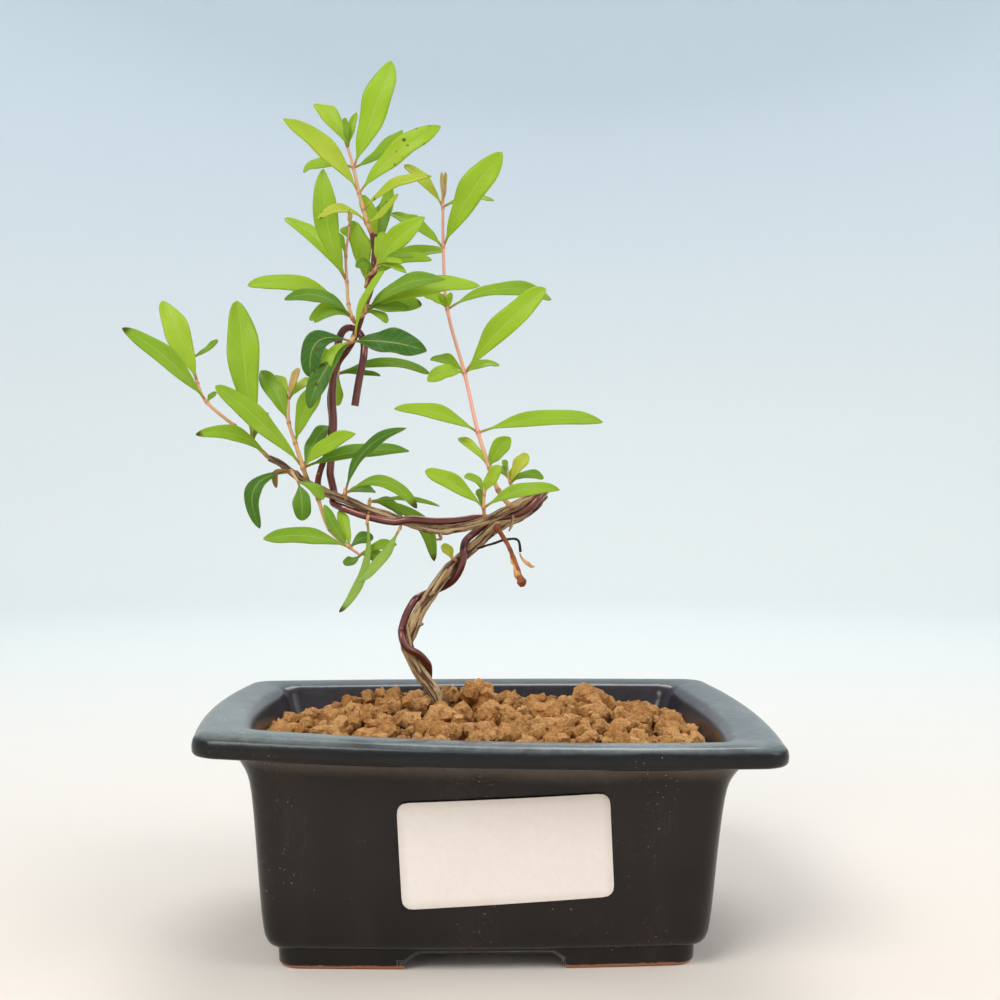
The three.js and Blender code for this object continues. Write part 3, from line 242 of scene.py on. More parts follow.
def growRod(work, controls, sides, steps, shape=None, material=0):
    # controls are (x, y, z, radius) in millimetres; the attribute "rod" follows the bark
    points = [place(*control[:3]) for control in controls]
    radii = [control[3] * mm for control in controls]
    before = set(work.faces)
    turnLayer = work.verts.layers.float["turn"]
    rodLayer = work.verts.layers.float_vector["rod"]
    tintLayer = work.verts.layers.float_vector["tint"]
    ring = bmesh.ops.create_circle(work, segments=sides, radius=1)["verts"]
    for index, vert in enumerate(ring):
        vert[turnLayer] = 2 * math.pi * index / sides
    length, last = 0, points[0]
    firstEdges = edges = each(vert.link_edges for vert in ring)
    for t, centre, front, right, along in sectionsAlong(points, steps):
        if t > 0:
            ring, edges = extruded(work, edges)
        length += (centre - last).length
        last = centre
        for vert in ring:
            turn = vert[turnLayer]
            swell = shape(turn, length / mm) if shape else 1
            radius = readTable(radii, t) * swell
            vert.co = centre + (front * math.cos(turn) + right * math.sin(turn)) * radius
            vert[tintLayer] = Vector((swell, 0, 0))
            vert[rodLayer] = Vector((math.cos(turn), math.sin(turn), length / mm))
    caps = [bmesh.ops.contextual_create(work, geom=loop)["faces"] for loop in (firstEdges, edges)]
    for face in work.faces:
        if face not in before:
            face.material_index = material
    return [face for faces in caps for face in faces]


def startWork():
    work = bmesh.new()
    work.verts.layers.float.new("turn")
    for name in ("rod", "blade", "tint", "marks"):
        work.verts.layers.float_vector.new(name)
    return work


# pot, glazed all over but for the feet
pot = {
    "halfWidth": 67, "halfDepth": 52.3,        # over the lip
    "bowX": 4, "bowY": 3,                      # bulge of the lip's sides
    # openings between the feet: height, slope of the shoulders and upright part of the ends
    "notchHeight": 3.8, "shoulder": 5.2, "upright": 0.3, "shoulderSteps": 6,
    "shoulderSlope": (0.75, 0.25),             # at its foot, and what it gains
    "frontGap": 36, "sideGap": 28,
    "drainX": 20, "drainRadius": 6, "drainZ": 7, "drainDepth": 20, "drainSides": 40,
    # outer wall: heights of its foot and top, half width and bow at its foot, and their gain
    "wallFoot": 9.6, "wallTop": 40.2,
    "wallHalfWidth": 51.8, "wallFlare": 3.6, "wallBow": 0.65, "wallBowGain": 0.1,
    "sideSteps": 16, "cornerSteps": 8,         # of each quarter of the outline
    "sharpFrom": 38,                           # degrees between two faces
    # height, half width, share of the bow, corner radius, finer steps up to the next level
    "profile": [
        (9.5, 40, 0.6, 4, 1), (9.5, 45.2, 0.6, 4.8, 3), (10.4, 46.8, 0.62, 4.8, 2),
        (12, 47.8, 0.65, 4.8, 4), (36, 50.9, 0.75, 4.8, 3), (42, 52.6, 0.8, 4.8, 3),
        (47, 54.6, 0.85, 4.8, 3), (49.8, 55.6, 0.9, 4.8, 3), (51.1, 56.8, 0.9, 4.9, 3),
        (51.6, 58.8, 0.92, 5, 3), (51.9, 64.4, 1, 5.2, 3), (51.5, 66, 1, 5.2, 3),
        (50.6, 66.9, 1, 5.2, 2), (48.3, 67, 1, 5.2, 2), (47.5, 66.5, 1, 5.2, 2),
        (47.2, 65.4, 1, 5.2, 2), (47.1, 61.8, 0.95, 5, 3), (46.2, 59, 0.87, 4.8, 3),
        (43.8, 57, 0.8, 4.8, 3), (40.2, 55.4, 0.75, 4.8, 8), (10, 51.9, 0.65, 4.8, 3),
        (7, 51.3, 0.63, 4.8, 2), (5.4, 50.4, 0.6, 4.8, 2), (4.9, 49.2, 0.57, 4.8, 1),
        (4.6, 48.6, 0.55, 4.8, 2), (0.8, 48.3, 0.5, 4.8, 2), (0, 47.5, 0.5, 4.8, 1),
        (0, 40, 0.5, 4.5, 1), (0, 39.4, 0.5, 4.5, 1), (4.5, 38.2, 0.5, 4, 1),
    ],
    # how far the front left corner is drawn in and up, by the foot and at the lip
    "drawnIn": {"lipHeight": 51.8, "foot": (1.2, 1, 0), "lip": (2, 5.5, 2.8)},
}


def cornerShare(x, y, halfWidth, halfDepth):
    # 1 at the front left corner, 0 at the right and at the back
    return ((1 - x / halfWidth) / 2) ** 2 * (1 - y / halfDepth) / 2


def drawnIn(x, y, z, halfWidth, halfDepth):
    corner = pot["drawnIn"]
    shift = Vector(corner["foot"]).lerp(Vector(corner["lip"]), (z / corner["lipHeight"]) ** 2)
    return Vector((x, y, z)) + shift * cornerShare(x, y, halfWidth, halfDepth)


def outline(height, halfWidth, bow, corner):
    halfDepth = halfWidth - (pot["halfWidth"] - pot["halfDepth"])
    bowX, bowY = pot["bowX"] * bow, pot["bowY"] * bow
    endX, endY = halfWidth - bowX - corner, halfDepth - bowY - corner
    sideX = lambda y: halfWidth - bowX * (y / halfDepth) ** 2
    sideY = lambda x: halfDepth - bowY * (x / halfWidth) ** 2
    quarter = []
    for i in range(pot["sideSteps"]):
        y = endY * i / pot["sideSteps"]
        quarter.append((sideX(y), y))
    for i in range(pot["cornerSteps"] + 1):
        turn = math.pi / 2 * i / pot["cornerSteps"]
        quarter.append((sideX(endY) - corner + corner * math.cos(turn),
                        sideY(endX) - corner + corner * math.sin(turn)))
    for i in range(pot["sideSteps"] - 1, -1, -1):
        x = endX * i / pot["sideSteps"]
        quarter.append((x, sideY(x)))
    half = quarter + [(-x, y) for x, y in reversed(quarter[:-1])]
    ring = half + [(x, -y) for x, y in reversed(half[1:-1])]
    return [place(*drawnIn(x, y, height, halfWidth, halfDepth)) for x, y in ring]


def profileLevels():
    rows = pot["profile"]
    knots = [Vector(row[:4]) for row in rows]
    last = len(rows) - 1
    levels = []                                # (place in the list of rows, level)
    for index, row in enumerate(rows[:-1]):
        steps = row[4]
        for step in range(steps):
            where = index + step / steps
            level = curvePoint(knots, where / last) if steps > 1 else knots[index]
            levels.append((where, level))
    return levels + [(last, knots[-1])]


def cutWith(piece, work):                      # takes the shape in work out of the piece
    mesh = bpy.data.meshes.new("cutter")
    work.to_mesh(mesh)
    work.free()
    cutter = bpy.data.objects.new("cutter", mesh)
    scene.collection.objects.link(cutter)
    boolean = piece.modifiers.new("cut", "BOOLEAN")
    boolean.object, boolean.solver = cutter, "EXACT"
    shape = piece.evaluated_get(bpy.context.evaluated_depsgraph_get())
    cut = bpy.data.meshes.new_from_object(shape)
    piece.modifiers.clear()
    piece.data = cut
    bpy.data.objects.remove(cutter)


def notchCutter(gap, alongX):
    reach = pot["halfWidth"] + 3               # past the pot on both sides
    half, upright, (slope, steeper) = gap / 2, pot["upright"], pot["shoulderSlope"]
    side = [(half, -1), (half, upright)]
    for step in range(1, pot["shoulderSteps"] + 1):
        t = step / pot["shoulderSteps"]
        inward = pot["shoulder"] * (t * (slope + steeper * t))
        side.append((half - inward, upright + (pot["notchHeight"] - upright) * (1 - (1 - t) ** 2)))
    shape = side + [(-x, z) for x, z in reversed(side)]
    points = [(-reach, x, z) if alongX else (x, -reach, z) for x, z in shape]
    work = bmesh.new()
    face = work.faces.new([work.verts.new(place(*point)) for point in points])
    grown = bmesh.ops.extrude_face_region(work, geom=[face])["geom"]
    shift = Vector((2 * reach * mm, 0, 0) if alongX else (0, 2 * reach * mm, 0))
    bmesh.ops.translate(work, vec=shift, verts=newVerts(grown))
    bmesh.ops.recalc_face_normals(work, faces=work.faces)
    return work


def makePot(material):
    work = bmesh.new()
    orderLayer = work.verts.layers.int.new("order")
    zoneLayer = work.verts.layers.float.new("zone")
    levels = profileLevels()
    first = [work.verts.new(point) for point in outline(*levels[0][1])]
    edges = [work.edges.new((a, b)) for a, b in zip(first, first[1:] + first[:1])]
    for index, vert in enumerate(first):
        vert[orderLayer] = index
    loops = [edges]
    for zone, level in levels[1:]:
        ring, edges = extruded(work, loops[-1])
        points = outline(*level)
        for vert in ring:
            vert.co = points[vert[orderLayer]]
            vert[zoneLayer] = zone
        loops.append(edges)
    for loop in (loops[0], loops[-1]):
        bmesh.ops.contextual_create(work, geom=loop)
    bmesh.ops.recalc_face_normals(work, faces=work.faces)
    piece = finishPiece("potFine", work, [material], ["pot"])
    for x in (-pot["drainX"], pot["drainX"]):
        drain = bmesh.new()
        radius, depth = pot["drainRadius"] * mm, pot["drainDepth"] * mm
        middle = Matrix.Translation(place(x, 0, pot["drainZ"]))
        bmesh.ops.create_cone(drain, cap_ends=True, segments=pot["drainSides"], radius1=radius,
                              radius2=radius, depth=depth, matrix=middle)
        cutWith(piece, drain)
    cutWith(piece, notchCutter(pot["frontGap"], False))
    cutWith(piece, notchCutter(pot["sideGap"], True))
    for face in piece.data.polygons:
        face.use_smooth = True
    piece.data.set_sharp_from_angle(angle=math.radians(pot["sharpFrom"]))
    return piece


def glazeMaterial():
    material, shade = startMaterial("potGlaze")
    space = objectSpace(shade)
    _, y, z = parts(space)
    zone = attribute(shade, "zone", out=2)     # 0 at the pot's floor, 9 on the lip, 13 on its nose
    height = z * 1000                          # millimetres
    mottle = cloud(space, 38, 4, 0.62)
    fine = cloud(space, 420, 2, 0.6)
    flow = cloud(stretched(space, (1, 1, 0.16)), 120, 3, 0.6)
    wall = mottle.above(0.35, 0.7).mixed(rgb(12, 9, 8), rgb(26, 19, 16))
    wall = (flow.above(0.46, 0.7) * 0.6).mixed(wall, rgb(42, 31, 25))
    inner = fine.mixed(rgb(36, 31, 36), rgb(56, 49, 54))
    lip = (mottle + fine * 0.3).above(0.42, 0.82).mixed(rgb(60, 68, 71), rgb(102, 111, 110))
    # painted shade: the lip is darkened towards the back of the pot
    lip = (y.above(-0.01, 0.05) * 0.7).mixed(lip, rgb(38, 42, 48))
    lip = (flow.above(0.52, 0.66) * 0.4).mixed(lip, rgb(66, 56, 52))
    lip = (cloud(space, 150, 5, 0.8).above(0.58, 0.66) * 0.55).mixed(lip, rgb(128, 98, 82))
    nose = (mottle + fine * 0.3).above(0.5, 0.8).mixed(rgb(5, 5, 6), rgb(15, 15, 17))
    ragged = zone + (mottle - 0.5) * 1.2
    glaze = ragged.above(7.6, 8.6).mixed(inner, lip)
    glaze = ragged.above(11.2, 12.2).mixed(glaze, nose)
    glaze = ragged.above(14.2, 15.2).mixed(glaze, wall)
    # painted light: the underside of the lip is made a paler brown, as if lit from the pale floor below
    dustAndFloorLight = zone.above(14.2, 15.4) * (1 - ragged.above(17.2, 18.6)) * (fine * 0.5 + 0.5)
    glaze = (dustAndFloorLight * 0.8).mixed(glaze, rgb(96, 84, 74))
    specks = (1 - cells(space, 760).above(0.09, 0.15)) * mottle.above(0.56, 0.64)
    glaze = (specks * 0.55).mixed(glaze, rgb(150, 140, 124))
    clay = fine.mixed(rgb(150, 96, 64), rgb(186, 126, 90))
    bare = 1 - (height + fine * 0.8).above(1.0, 1.5)
    colour = bare.mixed(glaze, clay)
    rough = mottle * 0.14 + fine * 0.06 + 0.15 + bare * 0.5 + specks * 0.2
    relief = bumped(mottle * 3 + fine, 0.00016, 0.4)
    return coat(shade, {"Base Color": colour, "Roughness": rough, "Normal": relief,
                        "Specular IOR Level": 0.34}, material)


potPiece = makePot(glazeMaterial())
print("pot made:", len(potPiece.data.polygons), "faces")


# soil: single lumps of clay on a bed of the same
soil = {
    "seed": 7, "drops": 2000,
    # the bed that the grains lie on
    "edgeHeight": 42.6, "mound": 4.4, "moundReach": (54, 46),
    "heaps": [                                 # height, middle and reach of each
        (7, -4, 6, 9, 11), (4, -27, 4, 12, 13), (4.4, 27, 12, 9, 9),
    ],
    # rise at the front, hollows at the back and in its left corner, full at these distances
    "frontRise": 1.8, "backHollow": 1.2, "backLeftHollow": 1.6,
    "fullX": 53, "fullY": 39, "frontReach": 56,
    "bedHalf": (53.2, 38.6), "bedSteps": (60, 44), "bedBow": 0.055, "bedLevel": 46,
    "bedBottom": 40, "bedRough": 0.7, "bedTint": (0.2, 0.3, 0),
    "bedWaves": [(1, 0.45, 0), (0.5, 1.4, 9)],      # share, pace and level of the noise
    # the pot's wall inside, where the soil meets it
    "wallHalf": (53.8, 39.1), "wallBow": (3.2, 2.4), "wallDrawnIn": (1.8, 4.5), "wallCorner": 5,
    # grains: radius, and how the drops choose it at first and later
    "grainMin": 1.4, "grainMax": 5, "earlyShare": 0.35, "earlyPower": 1.1, "latePower": 2,
    "dropHalf": (53, 38.6), "cell": 8.5,       # cell: side of the squares that are searched
    "wallRoom": 0.8, "overBed": 0.35, "closeness": 0.86, "nestle": 0.8,
    "heapHeight": 6.8, "ceiling": 60,          # over the bed, and over the table
    "stem": (-9.8, 2.2, 46),                   # the trunk's place, radius and lowest height
    "anyTurn": 6.3, "axisRise": 0.3, "noiseReach": 99,
    "stretch": [(0.85, 1.2), (0.8, 1.1), (0.72, 1)],
    "ballAndCube": (0.78, 0.2),                # each form's share in a grain
    "cragged": [(0.42, 1.3), (0.34, 3.1)],     # depth and pace of the lumps' roughness
    # smaller lumps on the large grains: their reach and size as shares of the grain's radius
    "lumpyFrom": 2.3, "lumps": 3, "lumpReach": 0.66, "lumpRise": (-0.1, 0.75), "lumpSize": (0.4, 0.58),
    "crumbs": 380, "crumbSpread": (4, 3), "crumbRadius": (0.35, 0.85), "crumbHeight": (0.8, 3.8),
    "mossAt": (21, 27), "mossHigh": 0.6,       # how much a high lump is preferred
    "batch": 24,                               # grains made at a time
    "sharpFrom": 34,
}


def bedHeight(x, y):
    reachX, reachY = soil["moundReach"]
    spread = (x / reachX) ** 2 + (y / reachY) ** 2
    back, left = max(0, y / soil["fullY"]), max(0, -x / soil["fullX"])
    hollow = soil["backHollow"] * back + soil["backLeftHollow"] * left * back
    heaps = sum(height * math.exp(-((x - atX) / wide) ** 2 - ((y - atY) / deep) ** 2)
                for height, atX, atY, wide, deep in soil["heaps"])
    front = soil["frontRise"] * max(0, -y / soil["fullY"]) ** 2
    front *= max(0, 1 - (x / soil["frontReach"]) ** 4)
    return soil["edgeHeight"] + soil["mound"] * max(0, 1 - spread) + heaps + front - hollow


def insidePot(x, y, radius):
    (halfWidth, halfDepth), (bowX, bowY) = soil["wallHalf"], soil["wallBow"]
    inward, rounding = cornerShare(x, y, halfWidth, halfDepth), soil["wallCorner"]
    x, y = x - soil["wallDrawnIn"][0] * inward, y - soil["wallDrawnIn"][1] * inward
    fitX = halfWidth - bowX * (y / halfDepth) ** 2 - radius
    fitY = halfDepth - bowY * (x / halfWidth) ** 2 - radius
    corner = max(abs(x) - fitX + rounding, 0) ** 2 + max(abs(y) - fitY + rounding, 0) ** 2
    return abs(x) < fitX and abs(y) < fitY and corner < rounding ** 2


def settleGrains(draw):                        # drops grains one by one onto those below
    settled, near = [], {}                     # near: the grains in each square
    around = [(i, j) for i in (-1, 0, 1) for j in (-1, 0, 1)]
    (halfX, halfY), (stemX, stemRadius, stemLow) = soil["dropHalf"], soil["stem"]
    for drop in range(soil["drops"]):
        late = drop > soil["drops"] * soil["earlyShare"]
        power = soil["latePower"] if late else soil["earlyPower"]
        radius = soil["grainMin"] + (soil["grainMax"] - soil["grainMin"]) * draw.random() ** power
        x = draw.uniform(-halfX, halfX)
        y = draw.uniform(-halfY, halfY)
        if not insidePot(x, y, soil["wallRoom"] * radius):
            continue
        z = bedHeight(x, y) + radius * soil["overBed"]
        column, row = int(x // soil["cell"]), int(y // soil["cell"])
        for other in (grain for i, j in around for grain in near.get((column + i, row + j), ())):
            reach = (radius + other[3]) * soil["closeness"]
            flat = math.hypot(x - other[0], y - other[1])
            if flat < reach:
                z = max(z, other[2] + math.sqrt(reach ** 2 - flat ** 2) * soil["nestle"])
        highest = min(soil["ceiling"], bedHeight(x, y) + soil["heapHeight"])
        onStem = math.hypot(x - stemX, y) < radius + stemRadius and z > stemLow
        if z + radius > highest or onStem:
            continue
        grain = (x, y, z, radius)
        near.setdefault((column, row), []).append(grain)
        settled.append(grain)
    return settled


def makeGrain(x, y, z, radius, draw, tone, cuts):
    work = startWork()
    tint = work.verts.layers.float_vector["tint"]
    angle = draw.uniform(0, soil["anyTurn"])
    axis = Vector((draw.random(), draw.random(), soil["axisRise"])).normalized()
    turn = Matrix.Rotation(angle, 4, axis)
    size = Matrix.Diagonal([draw.uniform(*limits) for limits in soil["stretch"]] + [1])
    bmesh.ops.create_cube(work, size=2)
    bmesh.ops.subdivide_edges(work, edges=work.edges[:], cuts=cuts, use_grid_fill=True)
    far, (ball, cube) = soil["noiseReach"], soil["ballAndCube"]
    offset = Vector([draw.uniform(-far, far) for _ in range(3)])
    middle = place(x, y, z)
    for vert in work.verts:
        direction = vert.co.normalized()
        cragged = 1
        for depth, pace in soil["cragged"]:
            cragged += depth * noise.noise(direction * pace + offset)
        form = direction * ball + vert.co * cube
        vert.co = middle + turn @ (size @ (form * (cragged * radius * mm)))
        vert[tint] = tone
    return work


def pour(work, batch):
    mesh = bpy.data.meshes.new("batch")
    batch.to_mesh(mesh)
    batch.free()
    work.from_mesh(mesh)
    bpy.data.meshes.remove(mesh)


def grainPlan(draw):                           # every grain: place, radius, tone and cuts
    settled = settleGrains(draw)
    (mossX, mossY), high = soil["mossAt"], soil["mossHigh"]
    mossy = min(settled, key=lambda g: math.hypot(g[0] - mossX, g[1] - mossY) - high * g[2])
    plan = []
    for x, y, z, radius in settled:
        tone = Vector((draw.random(), draw.random(), 1 if (x, y, z, radius) == mossy else 0))
        plan.append((x, y, z, radius, tone, 2))
        if radius > soil["lumpyFrom"]:
            for _ in range(soil["lumps"]):
                turn, up = draw.uniform(0, soil["anyTurn"]), draw.uniform(*soil["lumpRise"])
                reach = radius * soil["lumpReach"]
                bud = (x + reach * math.cos(turn), y + reach * math.sin(turn), z + reach * up)
                plan.append((*bud, radius * draw.uniform(*soil["lumpSize"]), tone, 1))
    spreadX, spreadY = soil["crumbSpread"]
    for _ in range(soil["crumbs"]):
        base = draw.choice(settled)
        x = base[0] + draw.uniform(-spreadX, spreadX)
        y = base[1] + draw.uniform(-spreadY, spreadY)
        radius = draw.uniform(*soil["crumbRadius"])
        if insidePot(x, y, radius):
            height = bedHeight(x, y) + draw.uniform(*soil["crumbHeight"])
            plan.append((x, y, height, radius, Vector((draw.random(), draw.random(), 0)), 1))
    return plan


def makeBed(work):
    tint = work.verts.layers.float_vector["tint"]
    (halfX, halfY), (stepsX, stepsY), bow = soil["bedHalf"], soil["bedSteps"], soil["bedBow"]
    bed = bmesh.ops.create_grid(work, x_segments=stepsX, y_segments=stepsY, size=1)["verts"]
    faces = each(vert.link_faces for vert in bed)
    for face in faces:
        face.material_index = 1
    for vert in bed:
        x, y = vert.co.x * halfX, vert.co.y * halfY
        x, y = x - bow * x * (y / halfY) ** 2, y - bow * y * (x / halfX) ** 2
        rough = sum(share * noise.noise(Vector((x, y, level)) * pace)
                    for share, pace, level in soil["bedWaves"])
        point = drawnIn(x, y, soil["bedLevel"], halfX, halfY)
        vert.co = place(point.x, point.y, bedHeight(x, y) + soil["bedRough"] * rough)
        vert[tint] = Vector(soil["bedTint"])
    grown = bmesh.ops.extrude_face_region(work, geom=faces)["geom"]
    for vert in newVerts(grown):
        vert.co.z = soil["bedBottom"] * mm
    bmesh.ops.recalc_face_normals(work, faces=faces)


def makeSoil(grainMaterial, bedMaterial):
    draw = random.Random(soil["seed"])
    work = startWork()
    makeBed(work)
    plan = grainPlan(draw)
    for start in range(0, len(plan), soil["batch"]):
        batch = startWork()
        for grain in plan[start:start + soil["batch"]]:
            pour(batch, makeGrain(*grain[:4], draw, *grain[4:]))
        pour(work, batch)
    piece = finishPiece("soilGrains", work, [grainMaterial, bedMaterial], ["soil"])
    piece.data.set_sharp_from_angle(angle=math.radians(soil["sharpFrom"]))
    return len(plan)


def akadamaMaterial(name, paintedShade=0):
    material, shade = startMaterial(name)
    space = objectSpace(shade)
    tone, second, moss = parts(attribute(shade, "tint"))
    chunk = cloud(space, 330, 4, 0.7)
    dustAndFloorLight = cloud(space, 1500, 3, 0.7)
    colour = tone.mixed(rgb(168, 118, 64), rgb(208, 158, 102))
    colour = (second.above(0.66, 0.9) * 0.6).mixed(colour, rgb(168, 114, 62))
    colour = (chunk.above(0.48, 0.66) * 0.5).mixed(colour, rgb(122, 78, 42))
    colour = (dustAndFloorLight.above(0.52, 0.72) * 0.5).mixed(colour, rgb(226, 182, 134))
    colour = (dustAndFloorLight.above(0.46, 0.34) * 0.5).mixed(colour, rgb(84, 48, 26))
    green = moss * chunk.above(0.34, 0.5)
    colour = green.mixed(colour, rgb(74, 78, 34))
    # painted shade: the bed that shows between the grains is darkened towards deep brown
    if paintedShade:
        colour = colour.towards(rgb(70, 42, 22), paintedShade)
    lumps = bumped(chunk + dustAndFloorLight * 0.35, 0.0016, 0.85)
    return coat(shade, {"Base Color": colour, "Roughness": dustAndFloorLight * 0.1 + 0.88, "Normal": lumps,
                        "Specular IOR Level": 0.12}, material)


akadama = akadamaMaterial("akadama")
# the bed's copy of the grain colour carries painted shade
shadedAkadamaBed = akadamaMaterial("shadedAkadamaBed", 0.72)
print("soil made:", makeSoil(akadama, shadedAkadamaBed), "grains")


# trunk, branch and leader
wood = {
    "sides": 20, "trunkSteps": 420, "leaderSides": 12, "leaderSteps": 190,
    "stubSides": 10, "stubSteps": 12, "rootSides": 8, "rootSteps": 14,
    # places along the middle of the wood, each with the radius there
    "trunk": [
        (-8.2, 3.5, 31, 2.1), (-8.6, 1.5, 39, 2), (-9.1, 0, 46, 1.9), (-9.6, 0, 51, 1.75),
        (-11.6, 0, 55.6, 1.6), (-15.2, 0.4, 60.7, 1.6), (-17.4, 0.4, 65, 1.5), (-18.4, 0, 68, 1.45),
        (-17.4, 0, 70.6, 1.5), (-16, 0, 74.5, 1.5), (-13.3, 0.5, 79, 1.45), (-9.1, 1, 85, 1.45),
        (-5.2, 1.8, 89, 1.4), (-2.2, 2.2, 91.5, 1.4), (3.8, 3, 96.7, 1.35), (9, 4, 99, 1.3),
        (12.7, 3.2, 101.4, 1.3), (14, 0.6, 103.5, 1.35), (12.4, -2.2, 104, 1.25), (9.6, -4, 102.7, 1.15),
        (6, -5, 100.8, 1.1), (0.8, -5.5, 98.2, 1.1), (-5.2, -5.5, 96.5, 1.1), (-11.7, -5, 96, 1.05),
        (-18.7, -4, 98, 1.05), (-23.3, -3.6, 99.6, 1), (-28, -3, 101, 1), (-33, -2.4, 103.2, 1),
        (-37.2, -2, 104.7, 1), (-40, -1.8, 106, 0.95), (-43, -1.5, 107.6, 0.95),
        (-46.2, -1.2, 109.8, 0.9), (-49, -1, 112, 0.85), (-51.8, -1, 113.4, 0.8),
    ],
    "leader": [
        (-40, -1.8, 106, 0.8), (-40, -0.4, 108.2, 0.75), (-39.4, 0.9, 111, 0.69),
        (-37.8, 1.9, 116, 0.69), (-37, 2.2, 122, 0.69), (-37.4, 2.3, 128.5, 0.69),
        (-36.4, 2.3, 133.5, 0.69), (-35, 2.2, 137.3, 0.69), (-32.8, 1.3, 140, 0.69),
        (-31.2, -0.4, 142.7, 0.81), (-30.2, -1, 145.3, 0.81), (-29, -0.6, 149.2, 0.81),
        (-27.4, 0, 154.5, 0.96), (-26.4, 0, 160, 0.96), (-26, 0, 164.2, 0.96), (-26.5, 0, 168, 0.96),
    ],
    "roots": [
        [(-8.3, 3, 35, 1.6), (-16, 6, 31, 1.3), (-25, 13, 27, 1), (-33, 16, 21, 0.6)],
        [(-8.3, 3, 35, 1.6), (-2, 8, 30, 1.2), (9, 14, 26, 0.9), (20, 17, 22, 0.6)],
        [(-8.3, 3, 35, 1.6), (-1, -3, 31, 1.3), (8, -12, 27, 1), (19, -15, 21, 0.6)],
        [(-8.3, 3, 35, 1.6), (-14, -5, 30, 1.2), (-22, -14, 25, 0.9), (-31, -16, 20, 0.6)],
    ],
    "stubs": [                                 # what pruning left
        [(-17.2, 0, 72, 0.8), (-15.8, -0.9, 72.6, 0.6), (-14.4, -1.5, 73, 0.3)],
        [(-13, 0.5, 79.6, 0.8), (-12, -1.4, 80.4, 0.5), (-11.4, -2.2, 80.6, 0.3)],
        [(-9.2, -5, 96, 0.7), (-10.2, -6, 95, 0.5), (-10, -6, 93.9, 0.4), (-11.4, -5.4, 93.7, 0.2)],
        [(13.6, 0.6, 103.2, 1.2), (15, 0.9, 103.9, 1.1), (15.9, 1, 104.4, 0.7)],
        [(7.4, -3.6, 100, 0.7), (7.3, -4.6, 98.6, 0.5), (7, -5, 97, 0.4), (6.4, -5, 95.6, 0.12)],
        [(-44, -1.4, 108.2, 0.7), (-44.7, -2.4, 109.6, 0.5), (-45, -3, 110.2, 0.3)],
    ],
    "knots": [6, 45, 61, 78, 96, 118, 133, 150],  # how far along the trunk, in millimetres
    "knotDepth": 0.16, "knotLength": 1.3,
    # depth of the bark's relief as a share of the radius, and its pace round and along
    "ridges": (0.2, 1.3, 0.07), "roughness": (0.12, 3.1, 0.5), "roughnessShift": 20,
    "relief": {"trunk": 1, "stub": 0.6, "root": 0.6, "leader": 0.5},
    # loose strips of bark: start, end, width, and how far they curl away
    "peelThickness": 0.18, "peelSteps": (3, 14), "peelNarrowing": 0.7, "peelCrown": 0.3,
    "peelCurls": (0.55, 0.45),                 # from this share of its length, over this share
    "peels": [
        ((-10.6, -1.6, 52.5), (-9.7, -2, 57.5), 0.8, 0.4),
        ((-9, -1.6, 50.5), (-11.2, -1.9, 57), 0.8, 0.3),
        ((-17.2, -1.5, 66), (-18.3, -1.6, 73), 0.8, 0.3),
        ((-12.6, -1, 80), (-8.6, -1.1, 86.4), 0.9, 0.4),
        ((0, 0.9, 94.2), (5.4, 1.5, 98.8), 0.9, 0.4),
        ((-20, -5, 98.5), (-28, -4, 101.3), 0.7, 0.2),
    ],
}


def barkShape(strength):                       # low ridges, roughness and swollen knots
    def shape(turn, length):
        around = Vector((math.cos(turn), math.sin(turn), 0))
        depth, pace, rise = wood["ridges"]
        ridge = depth * noise.noise(Vector((around.x * pace, around.y * pace, length * rise)))
        depth, pace, rise = wood["roughness"]
        shifted = length * rise + wood["roughnessShift"]
        rough = depth * noise.noise(Vector((around.x * pace, around.y * pace, shifted)))
        knot = sum(math.exp(-((length - where) / wood["knotLength"]) ** 2) for where in wood["knots"])
        return 1 + strength * (ridge + rough + wood["knotDepth"] * knot)
    return shape


def addStrip(work, start, end, width, curl):
    (stepsX, stepsY), (curlFrom, curlOver) = wood["peelSteps"], wood["peelCurls"]
    made = bmesh.ops.create_grid(work, x_segments=stepsX, y_segments=stepsY, size=1)["verts"]
    first, last = place(*start), place(*end)
    along = (last - first).normalized()
    outward = Vector((0, -1, 0))
    side = along.cross(outward).normalized()
    for vert in made:
        u, v = vert.co.x, (vert.co.y + 1) / 2
        half = width * mm / 2 * (1 - wood["peelNarrowing"] * abs(2 * v - 1) ** 3)
        crown = wood["peelCrown"] * mm * (1 - u * u)
        lift = curl * mm * max(0, (v - curlFrom) / curlOver) ** 2 + crown
        vert.co = first.lerp(last, v) + side * (u * half) + outward * lift
    faces = each(vert.link_faces for vert in made)
    bmesh.ops.solidify(work, geom=faces, thickness=wood["peelThickness"] * mm)


def makeWood(bark, darkBark):
    work = startWork()
    relief = {name: barkShape(strength) for name, strength in wood["relief"].items()}
    growRod(work, wood["trunk"], wood["sides"], wood["trunkSteps"], relief["trunk"])
    for stub in wood["stubs"]:
        growRod(work, stub, wood["stubSides"], wood["stubSteps"], relief["stub"])
    for strip in wood["peels"]:
        addStrip(work, *strip)
    for root in wood["roots"]:
        growRod(work, root, wood["rootSides"], wood["rootSteps"], relief["root"])
    growRod(work, wood["leader"], wood["leaderSides"], wood["leaderSteps"], relief["leader"], 1)
    bmesh.ops.recalc_face_normals(work, faces=work.faces)
    return finishPiece("trunkFine", work, [bark, darkBark], ["trunk"])


